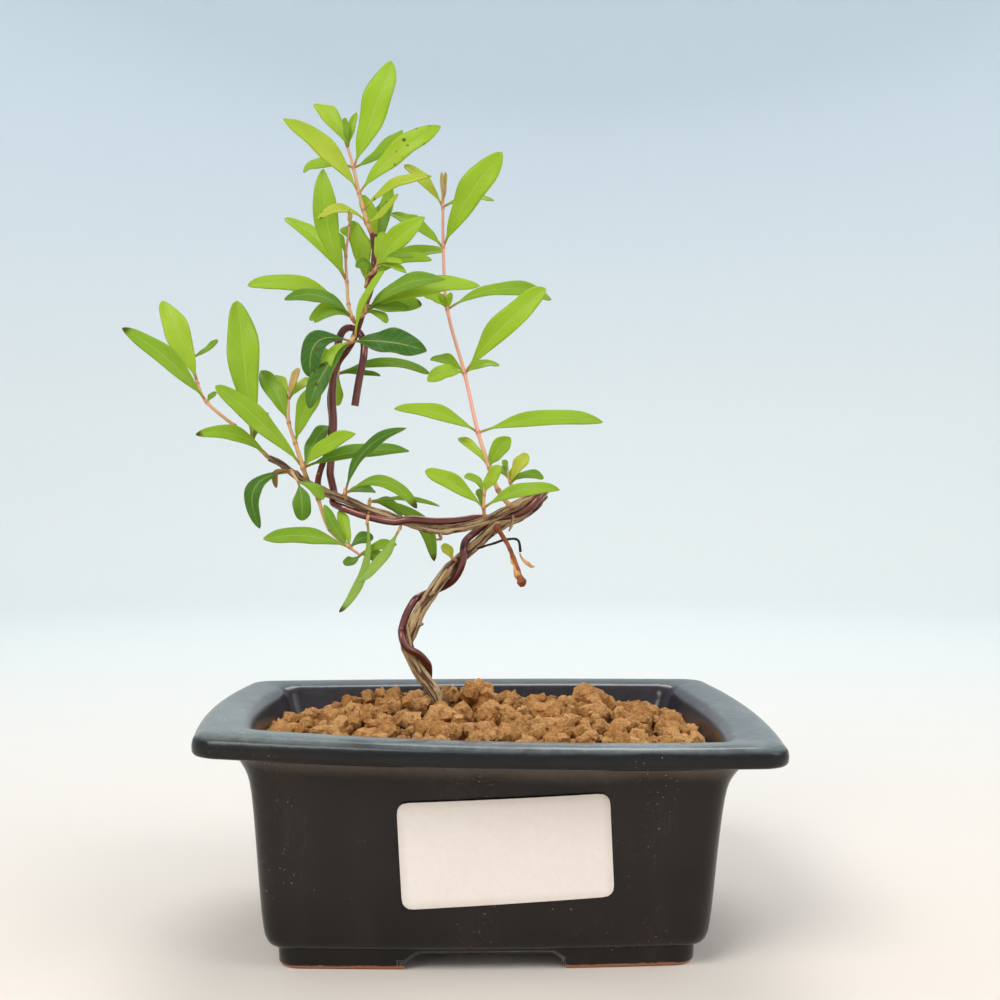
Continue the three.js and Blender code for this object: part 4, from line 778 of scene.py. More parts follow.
def barkMaterial(name, pale, dark, patches, browner):
    # browner: from where to where along the wood, in millimetres, it turns a darker brown
    material, shade = startMaterial(name)
    rod = attribute(shade, "rod")
    space = objectSpace(shade)
    strips = cloud(stretched(rod, (1.2, 1.2, 0.09)), 1.6, 3, 0.6)
    fibres = cloud(stretched(rod, (5, 5, 0.35)), 2.2, 3, 0.7)
    flecks = cloud(space, 900, 2, 0.6)
    colour = strips.above(*patches).mixed(dark, pale)
    colour = (fibres.above(0.45, 0.72) * 0.5).mixed(colour, dark)
    colour = (flecks.above(0.55, 0.75) * 0.35).mixed(colour, rgb(232, 208, 168))
    aged = parts(rod)[2].above(*browner) * (0.35 + strips.above(0.6, 0.42) * 0.5)
    colour = aged.mixed(colour, rgb(88, 52, 34))
    ridges = bumped(fibres + strips.above(*patches) * 0.5, 0.0006, 0.8)
    return coat(shade, {"Base Color": colour, "Roughness": fibres * 0.25 + 0.58,
                        "Normal": ridges}, material)


pastItsEnd = (900, 901)
bark = barkMaterial("bark", rgb(208, 176, 128), rgb(88, 54, 37), (0.42, 0.54), (118, 150))
leaderBark = barkMaterial("leaderBark", rgb(150, 78, 50), rgb(104, 46, 32), (0.5, 0.66), pastItsEnd)
makeWood(bark, leaderBark)
print("wood made")


# training wire
wire = {
    "radius": 0.93, "gap": 0.15, "sides": 14, "steps": 620,
    "every": 0.25,                             # places in the trunk's list between two points
    "sectionsToPlace": 12,
    "rimInset": 0.12, "rimDepth": 0.06,        # of the cut ends
    "sharpFrom": 40,
    # turns round the trunk: place in the trunk's list, and degrees (0 faces the front)
    "winding": [
        (1.4, 60), (3, 0), (3.8, -90), (4.5, -180), (5.2, -270), (7, -370), (7.8, -430), (8.6, -450),
        (9.6, -465), (10.4, -560), (11, -630), (12, -710), (12.6, -770), (13.3, -830), (14, -850),
        (15, -860), (16, -880), (17, -900), (18.5, -990), (20, -1080), (21.3, -1165), (22.2, -1185),
        (23, -1225), (23.6, -1260), (24.3, -1320), (25, -1345), (26, -1352), (27, -1380), (27.7, -1432),
    ],
    "free": [                                  # where it has left the branch
        (-36.3, 0.9, 105), (-36.8, 0.7, 107.6), (-37.1, 0, 109.6), (-36.8, -0.8, 113), (-36.2, -1, 121.7),
        (-36.5, -1, 128.3), (-36.1, -1, 134.3), (-35.3, -1, 139.2), (-34.9, 0.2, 142.5),
        (-33.9, 1.9, 144.9), (-32.2, 3, 145.7), (-30.3, 2.6, 144.4), (-29, 1.2, 141.9),
        (-28.9, -0.3, 138.2), (-30, -0.8, 132.4), (-31, -1, 126.1),
    ],
}


def windingAngle(where):
    for (low, first), (high, second) in zip(wire["winding"], wire["winding"][1:]):
        if where <= high:
            return math.radians(first + (second - first) * (where - low) / (high - low))
    return math.radians(wire["winding"][-1][1])


def wireRoute():
    controls, toPlace = wood["trunk"], wire["sectionsToPlace"]
    radii, last = [control[3] for control in controls], len(controls) - 1
    sections = sectionsAlong([Vector(control[:3]) for control in controls], toPlace * last)
    route = []
    where, end = wire["winding"][0][0], wire["winding"][-1][0]
    while where <= end + 1e-6:
        _, centre, front, right, _ = sections[round(where * toPlace)]
        away = readTable(radii, where / last) + wire["radius"] + wire["gap"]
        turn = windingAngle(where)
        route.append(centre + front * (away * math.cos(turn)) + right * (away * math.sin(turn)))
        where += wire["every"]
    return [tuple(point) for point in route] + wire["free"]


def makeWire(anodised, bareMetal):
    work = startWork()
    controls = [(*point, wire["radius"]) for point in wireRoute()]
    ends = growRod(work, controls, wire["sides"], wire["steps"])
    bmesh.ops.recalc_face_normals(work, faces=work.faces)
    for face in ends:                          # bare metal, with a burred rim
        face.material_index = 1
        rims = bmesh.ops.inset_individual(work, faces=[face], thickness=wire["rimInset"] * mm,
                                          depth=wire["rimDepth"] * mm)["faces"]
        for rim in rims:
            rim.material_index = 1
    piece = finishPiece("wireFine", work, [anodised, bareMetal], ["wire"])
    piece.data.set_sharp_from_angle(angle=math.radians(wire["sharpFrom"]))


def anodisedMaterial():
    material, shade = startMaterial("anodisedWire")
    rod = attribute(shade, "rod")
    space = objectSpace(shade)
    drawn = cloud(stretched(rod, (9, 9, 0.16)), 3, 4, 0.6)
    handling = cloud(space, 420, 3, 0.6)
    colour = drawn.mixed(rgb(86, 48, 44), rgb(136, 82, 76))
    colour = (handling.above(0.58, 0.76) * 0.3).mixed(colour, rgb(150, 112, 104))
    rough = drawn * 0.14 + 0.2 + handling * 0.08
    return coat(shade, {"Base Color": colour, "Roughness": rough, "Metallic": 0.85, "Coat Weight": 0.35,
                        "Normal": bumped(drawn, 0.00008, 0.4)}, material)


def bareMetalMaterial():
    material, shade = startMaterial("cutMetal")
    nipped = cloud(stretched(objectSpace(shade), (1, 6, 1)), 900, 3, 0.6)
    colour = nipped.mixed(rgb(176, 172, 168), rgb(226, 224, 220))
    return coat(shade, {"Base Color": colour, "Roughness": nipped * 0.2 + 0.25, "Metallic": 1.0,
                        "Normal": bumped(nipped, 0.0002, 0.5)}, material)


makeWire(anodisedMaterial(), bareMetalMaterial())
print("wire made")


# sticker on the front wall
label = {
    "width": 46.6, "height": 23, "thickness": 0.28, "corner": 2.2,
    "middleX": 4, "middleZ": 27.5, "tilt": 3.4,     # degrees
    "stepsX": 36, "stepsZ": 18,
    "standoff": 0.12, "wrinkle": 0.05, "wrinklePace": 0.22, "sharpFrom": 40,
}


def frontWall(x, z, out):                      # a point as far as out before the pot's front
    share = (z - pot["wallFoot"]) / (pot["wallTop"] - pot["wallFoot"])
    halfWidth = pot["wallHalfWidth"] + pot["wallFlare"] * share
    halfDepth = halfWidth - (pot["halfWidth"] - pot["halfDepth"])
    bow = pot["bowY"] * (pot["wallBow"] + pot["wallBowGain"] * share)
    return drawnIn(x, bow * (x / halfWidth) ** 2 - halfDepth - out, z, halfWidth, halfDepth)


def makeLabel(material):
    work = startWork()
    grid = bmesh.ops.create_grid(work, x_segments=label["stepsX"], y_segments=label["stepsZ"], size=1)
    tint = work.verts.layers.float_vector["tint"]
    tilt, corner, pace = math.radians(label["tilt"]), label["corner"], label["wrinklePace"]
    centreX, centreZ = label["width"] / 2 - corner, label["height"] / 2 - corner
    for vert in grid["verts"]:
        vert[tint] = Vector((vert.co.x, vert.co.y, 0))
        x, z = vert.co.x * label["width"] / 2, vert.co.y * label["height"] / 2
        outX, outZ = abs(x) - centreX, abs(z) - centreZ
        if outX > 0 and outZ > 0 and math.hypot(outX, outZ) > corner:
            shrink = corner / math.hypot(outX, outZ)
            x = math.copysign(centreX + outX * shrink, x)
            z = math.copysign(centreZ + outZ * shrink, z)
        wrinkled = label["wrinkle"] * noise.noise(Vector((x * pace, z * pace, 4)))
        worldX = label["middleX"] + x * math.cos(tilt) - z * math.sin(tilt)
        worldZ = label["middleZ"] + x * math.sin(tilt) + z * math.cos(tilt)
        out = label["standoff"] + label["wrinkle"] + wrinkled
        vert.co = place(*frontWall(worldX, worldZ, out))
    bmesh.ops.dissolve_degenerate(work, dist=1e-6, edges=work.edges)
    grown = bmesh.ops.extrude_face_region(work, geom=list(work.faces))["geom"]
    bmesh.ops.translate(work, vec=(0, -label["thickness"] * mm, 0), verts=newVerts(grown))
    bmesh.ops.recalc_face_normals(work, faces=work.faces)
    piece = finishPiece("labelFine", work, [material], ["label"])
    piece.data.set_sharp_from_angle(angle=math.radians(label["sharpFrom"]))


def paperMaterial():
    material, shade = startMaterial("stickerPaper")
    space = objectSpace(shade)
    across, upward, _ = parts(attribute(shade, "tint"))
    fibres = cloud(space, 700, 4, 0.7)
    stain = cloud(space, 60, 5, 0.6)
    edge = (across.size().above(0.9, 1.0) + upward.size().above(0.82, 1.0)) * stain
    colour = fibres.mixed(rgb(232, 222, 216), rgb(244, 236, 230))
    colour = (stain.above(0.5, 0.8) * 0.12).mixed(colour, rgb(214, 196, 186))
    colour = (edge * 0.5).mixed(colour, rgb(176, 160, 142))
    waves = bumped(cloud(stretched(space, (1, 1, 0.4)), 70, 3, 0.5), 0.0004, 0.3)
    return coat(shade, {"Base Color": colour, "Roughness": stain * 0.15 + 0.42,
                        "Normal": bumped(fibres, 0.00005, 0.3, waves)}, material)


makeLabel(paperMaterial())
print("label made")


# leafy shoots
blade = {
    "stepsAcross": 8, "stepsAlong": 22,
    "spacing": (0.45, 0.55),                   # of the steps: even, and crowded at both ends
    "uneven": 0.075, "unevenPace": 11,         # of the edges
    "petiole": 0.09,                           # share of the length
    "petioleHalfWidth": 0.25, "tipHalfWidth": 0.05,
    "thickness": 0.24, "fold": 0.2, "foldPower": 1.4, "wave": 0.2, "sag": 0.04,
    "unevenShift": 2, "waveShift": 1.7,        # how far one side runs ahead of the other
    # drawn for each leaf: more curl, twist either way, ripples, their start, share of the fold
    "curl": (0.02, 0.08), "twist": 0.25, "ripples": (8, 15), "phase": 6, "foldShare": (0.5, 1.5),
    "twistAt": 0.35, "nudge": 0.02,            # nudge: a short way along, to find the direction
    "fullness": 0.46,                          # of a leaf's stated width, to each side of its midrib
    "curlFrom": 0.55,                          # share of the length
    "small": 9,                                # millimetres: shorter leaves have rounder tips
    "swell": 0.95, "points": (0.54, 0.82), "smallPoints": (0.44, 0.62),
}

stem = {
    "sides": 8, "stepsToNode": 14, "slimness": 0.78, "taper": 0.45,
    "jointSwell": 0.38, "jointLength": 0.55,
}


def at(x, y, z, *leaves):                      # a node of a stem, and the leaves that spring there
    return (x, y, z), leaves


def leaf(x, y, z, width, arch, face, tone, curl=0, twist=0, spots=0, tipBrown=0, back=0):
    # tip, greatest width, height of the arch, and the way the blade faces
    # (0 looks up, 90 looks to the front); tone runs from 0, old and dark, over 1, young,
    # to 1.5, a brown bud, and is -1 on a dried leaf; back turns the underside to the front
    return {"tip": (x, y, z), "width": width, "arch": arch, "face": face, "tone": tone,
            "curl": curl, "twist": twist, "spots": spots, "tipBrown": tipBrown, "back": back}


shoots = {
    "shoot_tall_right": {"radius": 0.8, "slot": "young_leaf", "nodes": [
        at(8, -4.5, 102),
        at(6.5, -6.7, 102),
        at(3.7, -6.5, 105.7),
        at(1.7, -5, 111,
           leaf(6.6, -8, 118, 4.6, 0.8, 75, 0.75),
           leaf(-5.9, 0, 118.4, 2.4, 0.8, 65, 1.1)),
        at(-1, -2, 119.6,
           leaf(30, 2, 122.6, 4.8, 1.6, 68, 0.7),
           leaf(-21, -7, 125.3, 4.2, 1.4, 68, 0.8)),
        at(-4.3, 0, 134.2,
           leaf(15, -7, 154, 6.8, 0.8, 78, 0.95),
           leaf(4.6, 6, 136.9, 2.6, 1, 60, 0.9),
           leaf(-12.9, 7, 138.4, 3.2, 1.2, 60, 0.8),
           leaf(-13, -7, 131.9, 4, 1.2, 72, 0.9)),
        at(-8.5, 1, 150,
           leaf(17.8, 8, 153.9, 4.3, 3, 64, 0.75),
           leaf(-14.5, -2, 153.6, 3.2, 0.8, 65, 0.95),
           leaf(-7.6, -1.5, 153.6, 1.7, 0.2, 78, 0.9),
           leaf(-10, -1, 153.4, 1.5, 0.2, 78, 0.85)),
        at(-9.5, 3, 165.5,
           leaf(4.7, -5, 187, 7.4, 1.2, 80, 0.95),
           leaf(-22.7, 9, 175.2, 4.3, 0.8, 62, 1.0)),
        at(-9.6, 3, 175.5,
           leaf(-19.5, 9, 187.6, 3.2, 0.8, 75, 1.25),
           leaf(3.5, 13, 179.7, 2.6, 1, 60, 0.9),
           leaf(-9.9, 2, 183.9, 0.9, 0, 80, 1.5),
           leaf(-9, 3.4, 184.2, 1.3, 0, 80, 1.6)),
        at(-9.4, 3, 181),
    ]},
    "shoot_front_small": {"radius": 0.6, "slot": "young_leaf", "nodes": [
        at(0.6, -5.5, 98.4),
        at(0.2, -9, 101.4,
           leaf(-13.4, -14, 110.2, 4.3, 0.8, 72, 0.85),
           leaf(17.9, -13, 105.9, 3.8, 1.6, 66, 0.85),
           leaf(-1.2, -8, 105.9, 2, 0.2, 72, 0.4)),
        at(0.3, -9.5, 104.6,
           leaf(4.1, -11, 111.4, 3.4, 0.4, 76, 1.0),
           leaf(-4.4, -5.5, 109, 2.2, 1.4, 64, 0.7)),
        at(0.3, -9.5, 107),
    ]},
    "shoot_behind_small": {"radius": 0.6, "slot": "young_leaf", "nodes": [
        at(11, -3, 103.4),
        at(9.5, -0.5, 104.6),
        at(7, 1.3, 107.3,
           leaf(11.3, 2, 114.6, 3.4, 0.4, 74, 1.2),
           leaf(15.1, 0, 108.6, 2.5, 1.4, 62, 0.55),
           leaf(9.4, 5, 111.4, 2.6, 0.8, 66, 0.9),
           leaf(4, 6, 111, 2.3, 1, 65, 0.6)),
        at(6.3, 2, 110.5,
           leaf(5.2, 3, 113.1, 1.6, 0.2, 70, 0.6)),
    ]},
    "shoot_top": {"radius": 0.75, "slot": "young_leaf", "nodes": [
        at(-26.9, 0, 168.2),
        at(-28.1, 0, 170.9,
           leaf(-39.1, -9, 170, 2.4, 2.6, 70, 1.3, spots=1),
           leaf(-20.5, -5, 176.9, 2.2, -1.4, 64, 1.15)),
        at(-28.9, 0, 174,
           leaf(-12.4, -9, 180.3, 2.9, 1.8, 70, 1.1, spots=1)),
        at(-30, 0, 178,
           leaf(-47.6, -6, 194.4, 5.4, 1.8, 76, 1.05),
           leaf(-10.1, -5, 193.2, 5.8, 1.4, 78, 1.0, spots=1)),
        at(-31.4, 0.3, 184.3,
           leaf(-44.9, 9, 185.5, 4.2, 1.4, 68, 1.0),
           leaf(-22.2, -2, 209.9, 7.6, -0.6, 80, 1.05),
           leaf(-19.8, 9, 196.3, 3.8, -1.6, 66, 0.85)),
        at(-32.8, 1, 189.3,
           leaf(-41.7, 6, 201.7, 4.6, 1.2, 76, 1.1),
           leaf(-33.4, -0.5, 196.3, 1.7, 0.2, 82, 0.7),
           leaf(-30.8, 2, 198.4, 2, 0.2, 82, 1.1)),
    ]},
    "shoot_upper_leader": {"radius": 0.6, "slot": "young_leaf", "nodes": [
        at(-27.8, -0.4, 157.8),
        at(-26.3, -2.6, 158.6,
           leaf(-13.9, -7, 170.9, 5.6, 0.8, 78, 0.95),
           leaf(-12.3, 1, 162.3, 2.8, 1.2, 68, 0.9),
           leaf(-30, -8, 158.8, 2.6, 1.4, 66, 0.35)),
        at(-25.4, -3, 160,
           leaf(-24.2, 1, 169, 3.2, 0.4, 82, 0.9),
           leaf(-18.3, -10, 157.2, 2.2, 0.8, 60, 1.0),
           leaf(-16.5, -8.5, 161.2, 1.9, 1, 60, 0.6),
           leaf(-19.2, -11, 159.4, 1.6, 0.6, 60, 1.2)),
        at(-25, -3, 162,
           leaf(-17, 3, 171, 3.6, 0.8, 70, 0.75)),
    ]},
    "shoot_upper_back": {"radius": 0.6, "slot": "young_leaf", "nodes": [
        at(-28.4, 0.2, 155.2),
        at(-28.4, 3, 156.6,
           leaf(-30.2, 6, 166.4, 3.8, 0.3, 80, 0.95),
           leaf(-32.4, 5, 172.4, 5.2, 0.7, 80, 0.85),
           leaf(-9.1, 9, 166.3, 4.1, 1.8, 66, 0.8)),
        at(-27, 4, 161),
        at(-26.2, 4.2, 164.5,
           leaf(-23.8, 6, 178.2, 4.4, 0.3, 78, 0.5),
           leaf(-29.6, 5, 179, 4, 0.6, 78, 0.9),
           leaf(-22.8, 7, 182, 3.4, -0.6, 78, 0.85),
           leaf(-35.3, 7, 170.8, 3.6, 0.8, 70, 0.9),
           leaf(-19.5, 8, 169.5, 3.4, 1, 66, 1.0)),
    ]},
    "shoot_mid_leader": {"radius": 0.65, "slot": "young_leaf", "nodes": [
        at(-30.2, -0.6, 147.4),
        at(-28.2, -4, 148.5,
           leaf(-9.3, -13, 155.3, 4.6, 2, 64, 0.55),
           leaf(-0.8, -9, 154.4, 5, 2, 68, 0.95),
           leaf(-22.8, -5.5, 145.9, 2.2, 0.9, 64, 0.7)),
        at(-28, -4.6, 150.2,
           leaf(-14.7, -2, 151.2, 3.9, -0.8, 66, 0.7, tipBrown=1),
           leaf(-17.5, -6.5, 149.5, 3, -0.6, 62, 0.5)),
    ]},
    "shoot_left_pink": {"radius": 0.65, "slot": "young_leaf", "nodes": [
        at(-31, -1.4, 146.4),
        at(-31.4, -3.6, 147.2,
           leaf(-55.9, -7, 154.7, 4.6, 3.2, 66, 0.85),
           leaf(-46.5, -11, 150.7, 3.8, 2.6, 66, 0.45),
           leaf(-42.1, -1.5, 147.1, 3.8, 2, 68, 1.0),
           leaf(-40, -8, 145.6, 2.3, 1.6, 60, 0.45),
           leaf(-53.4, -4, 154.5, 3.2, 2.4, 60, 0.3)),
        at(-32.5, -1.2, 150.8),
        at(-33, 0, 156.5,
           leaf(-38.5, -2, 183.5, 6.3, -2, 80, 0.8),
           leaf(-49.3, 9, 174.1, 3.9, 1.4, 66, 1.0)),
        at(-33.4, 2, 163,
           leaf(-36, 4, 169.5, 2, 0.4, 70, 1.0)),
        at(-32.6, 3, 170.5,
           leaf(-32.4, 3.4, 174.6, 1.2, 0, 80, 1.5)),
    ]},
    "shoot_dark_leaves": {"radius": 0.75, "slot": "old_leaf", "nodes": [
        at(-31.4, -1.2, 143),
        at(-31.5, -5, 141.3,
           leaf(-13.4, -10, 138.7, 7, 0.6, 70, 0.1, spots=1),
           leaf(-41, -11, 125, 4.9, 1.4, 72, 0.12, spots=1),
           leaf(-40.8, -9, 132.4, 6, 5, 74, 0.05, spots=1),
           leaf(-37.6, -8.5, 131, 3, 2.4, 74, 0.9)),
        at(-30.6, -5.6, 142.4,
           leaf(-23.6, -8, 158, 2.3, 1.2, 62, 0.85)),
    ]},
    "shoot_leader_back": {"radius": 0.7, "slot": "old_leaf", "nodes": [
        at(-36, 2, 133.5),
        at(-35.6, 5, 134.5,
           leaf(-12.9, 13, 135.6, 3.2, 2, 60, 0.45),
           leaf(-36, 6.4, 126.6, 3.5, 0.8, 70, 0.75),
           leaf(-25, 2, 133.9, 1.6, 0.4, 66, 0.3)),
        at(-35.5, 6.5, 136.5,
           leaf(-43, 12, 141, 3.3, 0.8, 66, 0.6)),
    ]},
    "shoot_left_end": {"radius": 0.7, "slot": "young_leaf", "nodes": [
        at(-51.9, -1, 113.5,
           leaf(-67.9, -8, 118.9, 3.9, 2.6, 68, 0.65, tipBrown=1)),
        at(-55.7, -1.8, 117.3,
           leaf(-59.7, 0, 151.9, 8, 0.2, 80, 0.85),
           leaf(-53, 6, 125, 2.6, 0.8, 66, 0.3)),
        at(-60, -2.2, 121.2),
        at(-66.4, -3.2, 126.8,
           leaf(-84.9, -9, 144, 5, 1.2, 72, 0.75, tipBrown=1),
           leaf(-64.5, -1, 129.4, 1.5, 0.2, 66, 0.4)),
        at(-69, -1, 131.5,
           leaf(-78.5, 3, 152.3, 6.4, 0.4, 80, 1.05)),
        at(-70.8, 1.2, 138,
           leaf(-65.2, 4, 142.8, 1.7, -0.6, 62, 0.6)),
    ]},
    "shoot_left_middle": {"radius": 0.8, "slot": "young_leaf", "nodes": [
        at(-42.5, -1.5, 108),
        at(-43.2, -4, 111,
           leaf(-62.9, -10, 130.3, 5.4, 0.8, 76, 0.75),
           leaf(-30.2, -11, 119, 4.3, 1.2, 70, 0.85),
           leaf(-17.7, -6, 115.2, 4.2, 1.2, 62, 0.25),
           leaf(-38.1, 4, 121.7, 4.2, 0.8, 66, 0.35)),
        at(-45.2, -3, 117,
           leaf(-39, -6.4, 130.9, 5.2, 0.8, 78, 0.7)),
        at(-46.9, -2, 122,
           leaf(-54.7, 4, 135.3, 5, 0.8, 76, 0.7)),
        at(-47.1, -1, 127.6,
           leaf(-51.8, 6, 134.2, 3, 0.8, 60, 1.0),
           leaf(-41.8, 6, 133, 3, 0.8, 60, 1.05),
           leaf(-44.8, 0, 135.4, 2.1, 0.2, 80, 1.5)),
    ]},
    "shoot_hanging_left": {"radius": 0.7, "slot": "young_leaf", "nodes": [
        at(-46.7, -1.2, 110.2),
        at(-46, -3.7, 110,
           leaf(-53.2, -7, 96.5, 4.2, 5.6, 70, 0.2),
           leaf(-49.5, -5.5, 106.2, 1.6, 2.4, 40, -1)),
        at(-44.3, -4.8, 107.6,
           leaf(-43.3, -6, 98.3, 4.8, 0.8, 78, 0.35),
           leaf(-38.1, -6, 103.4, 2.9, 0.8, 66, 0.6)),
    ]},
    "shoot_branch_middle": {"radius": 0.7, "slot": "young_leaf", "nodes": [
        at(-32.9, -2.6, 103.2),
        at(-33, -6, 104.8,
           leaf(-18.3, -14, 120.2, 3.5, 3, 60, 0.25),
           leaf(-15.8, -10, 101.5, 3.4, 4.2, 62, 0.6, tipBrown=1),
           leaf(-26.1, 3, 105.2, 2.4, 0.8, 60, 0.3)),
        at(-33, -6.4, 106),
    ]},
    "shoot_branch_right": {"radius": 0.65, "slot": "young_leaf", "nodes": [
        at(-27.6, -3, 101),
        at(-27.4, -1, 102.8,
           leaf(-11.5, 4, 88, 3.9, 4.4, 66, 0.6, tipBrown=1),
           leaf(-19.5, 5.5, 99.4, 3.6, 1.2, 60, 0.3),
           leaf(-10.4, -1.5, 101.9, 1.3, 1, 66, 0.45)),
        at(-27.4, -0.2, 103.6),
    ]},
    "shoot_hanging_middle": {"radius": 0.7, "slot": "young_leaf", "nodes": [
        at(-40.5, -1.5, 106.5),
        at(-39.5, -4.6, 103.4),
        at(-36.6, -5.6, 96),
        at(-31.8, -6, 91.8,
           leaf(-51.4, -13, 94.3, 4.5, 1.4, 64, 0.65),
           leaf(-37.8, -6.5, 102.2, 3, -0.8, 72, 0.45),
           leaf(-34.7, -2, 100.7, 3, 0.4, 70, 0.95),
           leaf(-26.3, -4, 94.3, 3.3, 0.8, 62, 0.2)),
        at(-29.5, -5, 90,
           leaf(-23.9, -3, 88.1, 3.4, 0.8, 66, 0.5),
           leaf(-33.6, -5, 88.5, 2.6, -0.8, 60, 0.3),
           leaf(-20.7, -2, 92.5, 2.6, 0.8, 66, 0.8)),
    ]},
    "shoot_hanging_long": {"radius": 0.55, "slot": "young_leaf", "nodes": [
        at(-27.4, -3.6, 100.4),
        at(-27.6, -6.4, 98.4,
           leaf(-33.9, -9, 76.5, 2.5, -2.4, 66, 0.6, tipBrown=1, back=1)),
        at(-27.9, -7, 97.4),
    ]},
    "shoot_hanging_pale": {"radius": 0.55, "slot": "young_leaf", "nodes": [
        at(-19.6, -4.4, 97.6),
        at(-19.8, -7, 96.4,
           leaf(-29.4, -12, 83.8, 3, -0.6, 60, 0.72, back=1)),
        at(-20.2, -7.6, 95.6),
    ]},
    "trunk_leaf": {"radius": 0.6, "slot": "young_leaf", "nodes": [
        at(-6, 1, 88),
        at(-7, -1.6, 88.8,
           leaf(-9.8, -4, 92.2, 2.6, 0.4, 72, 1.2)),
        at(-7.8, -2.6, 89.4),
    ]},
}


def halfShare(t, point):                       # share of the half width, along the leaf
    share = max(0, (t - blade["petiole"]) / (1 - blade["petiole"]))
    swell = blade["swell"]
    widest = swell / (swell + point)
    return (share / widest) ** swell * ((1 - share) / (1 - widest)) ** point


def addLeaf(work, base, one, draw):            # one blade, still without thickness
    tintLayer = work.verts.layers.float_vector["tint"]
    marksLayer = work.verts.layers.float_vector["marks"]
    bladeLayer = work.verts.layers.float_vector["blade"]
    base, tip = place(*base), place(*one["tip"])
    chord = tip - base
    along, length = chord.normalized(), chord.length
    up, front = Vector((0, 0, 1)), Vector((0, -1, 0))
    rise = (up - along * up.dot(along)).normalized()
    front = (front - along * front.dot(along)).normalized()
    face = math.radians(one["face"])
    facing = (rise * math.cos(face) + front * math.sin(face)).normalized()
    if one["back"]:
        facing.negate()
    arch, sag = one["arch"] * mm, blade["sag"] * length
    curl = (one["curl"] + draw.uniform(*blade["curl"])) * length
    twist = one["twist"] + draw.uniform(-blade["twist"], blade["twist"])
    seed, ripples = draw.random(), draw.uniform(*blade["ripples"])
    phase = draw.uniform(0, blade["phase"])
    point = draw.uniform(*blade["points" if length > blade["small"] * mm else "smallPoints"])
    lift = blade["fold"] * draw.uniform(*blade["foldShare"])
    (even, crowded), nudge = blade["spacing"], blade["nudge"]

    def centreAt(t):
        hump, past = 4 * t * (1 - t), max(0, t - blade["curlFrom"])
        return base + chord * t + rise * (arch * hump) + facing * (sag * hump - curl * past ** 2 * 2)

    stepsX, stepsY = blade["stepsAcross"], blade["stepsAlong"]
    grid = bmesh.ops.create_grid(work, x_segments=stepsX, y_segments=stepsY, size=1)
    for vert in grid["verts"]:
        u, v = vert.co.x, (vert.co.y + 1) / 2
        t = even * v + crowded * (0.5 - 0.5 * math.cos(math.pi * v))
        tangent = (centreAt(t + nudge) - centreAt(t - nudge)).normalized()
        side = facing.cross(tangent).normalized()
        normal = tangent.cross(side)
        turn = twist * (t - blade["twistAt"])
        side, normal = (side * math.cos(turn) + normal * math.sin(turn),
                        normal * math.cos(turn) - side * math.sin(turn))
        least = blade["petioleHalfWidth"] if t < 0.5 else blade["tipHalfWidth"]
        ahead = blade["unevenShift"] if u > 0 else 0
        uneven = 1 + blade["uneven"] * math.sin(blade["unevenPace"] * t + phase + ahead)
        half = max(blade["fullness"] * one["width"] * halfShare(t, point) * uneven, least) * mm
        ahead = blade["waveShift"] if u > 0 else 0
        wave = blade["wave"] * math.sin(ripples * t + phase + ahead) * u * u
        raised = lift * abs(u) ** blade["foldPower"] + wave
        vert.co = centreAt(t) + side * (u * half) + normal * (half * raised)
        vert[bladeLayer] = Vector((u, t, 1))
        vert[tintLayer] = Vector((one["tone"], seed, 0))
        vert[marksLayer] = Vector((one["spots"], one["tipBrown"], 0))


def addBlades(work, leaves, draw):             # leaves: pairs of base and leaf
    before = set(work.faces)
    for base, one in leaves:
        addLeaf(work, base, one, draw)
    faces = [face for face in work.faces if face not in before]
    for face in faces:
        face.material_index = 1
    return faces


def thickenBlades(work, faces):                # "blade" ends in 1 on one side and -1 on the other
    bladeLayer = work.verts.layers.float_vector["blade"]
    work.normal_update()
    grown = bmesh.ops.extrude_face_region(work, geom=faces)["geom"]
    for vert in newVerts(grown):
        vert[bladeLayer] = Vector((vert[bladeLayer].x, vert[bladeLayer].y, -1))
        vert.co += vert.normal * (blade["thickness"] * mm)


def jointedStem(nodes):                        # a stem swells at its nodes
    joints, length = [], 0
    for (first, _), (second, _) in zip(nodes, nodes[1:]):
        length += (Vector(second) - Vector(first)).length
        joints.append(length)

    def shape(turn, length):
        swollen = sum(math.exp(-((length - joint) / stem["jointLength"]) ** 2) for joint in joints[:-1])
        return 1 + stem["jointSwell"] * swollen
    return shape


def makeShoot(name, shoot, materials):
    draw = random.Random(name)
    work = startWork()
    nodes = shoot["nodes"]
    last = len(nodes) - 1
    controls = [(*point, shoot["radius"] * stem["slimness"] * (1 - stem["taper"] * index / last))
                for index, (point, _) in enumerate(nodes)]
    growRod(work, controls, stem["sides"], stem["stepsToNode"] * last, jointedStem(nodes))
    leaves = [(base, one) for base, springing in nodes for one in springing]
    thickenBlades(work, addBlades(work, leaves, draw))
    bmesh.ops.recalc_face_normals(work, faces=work.faces)
    return finishPiece(name + "_fine", work, materials, [name])


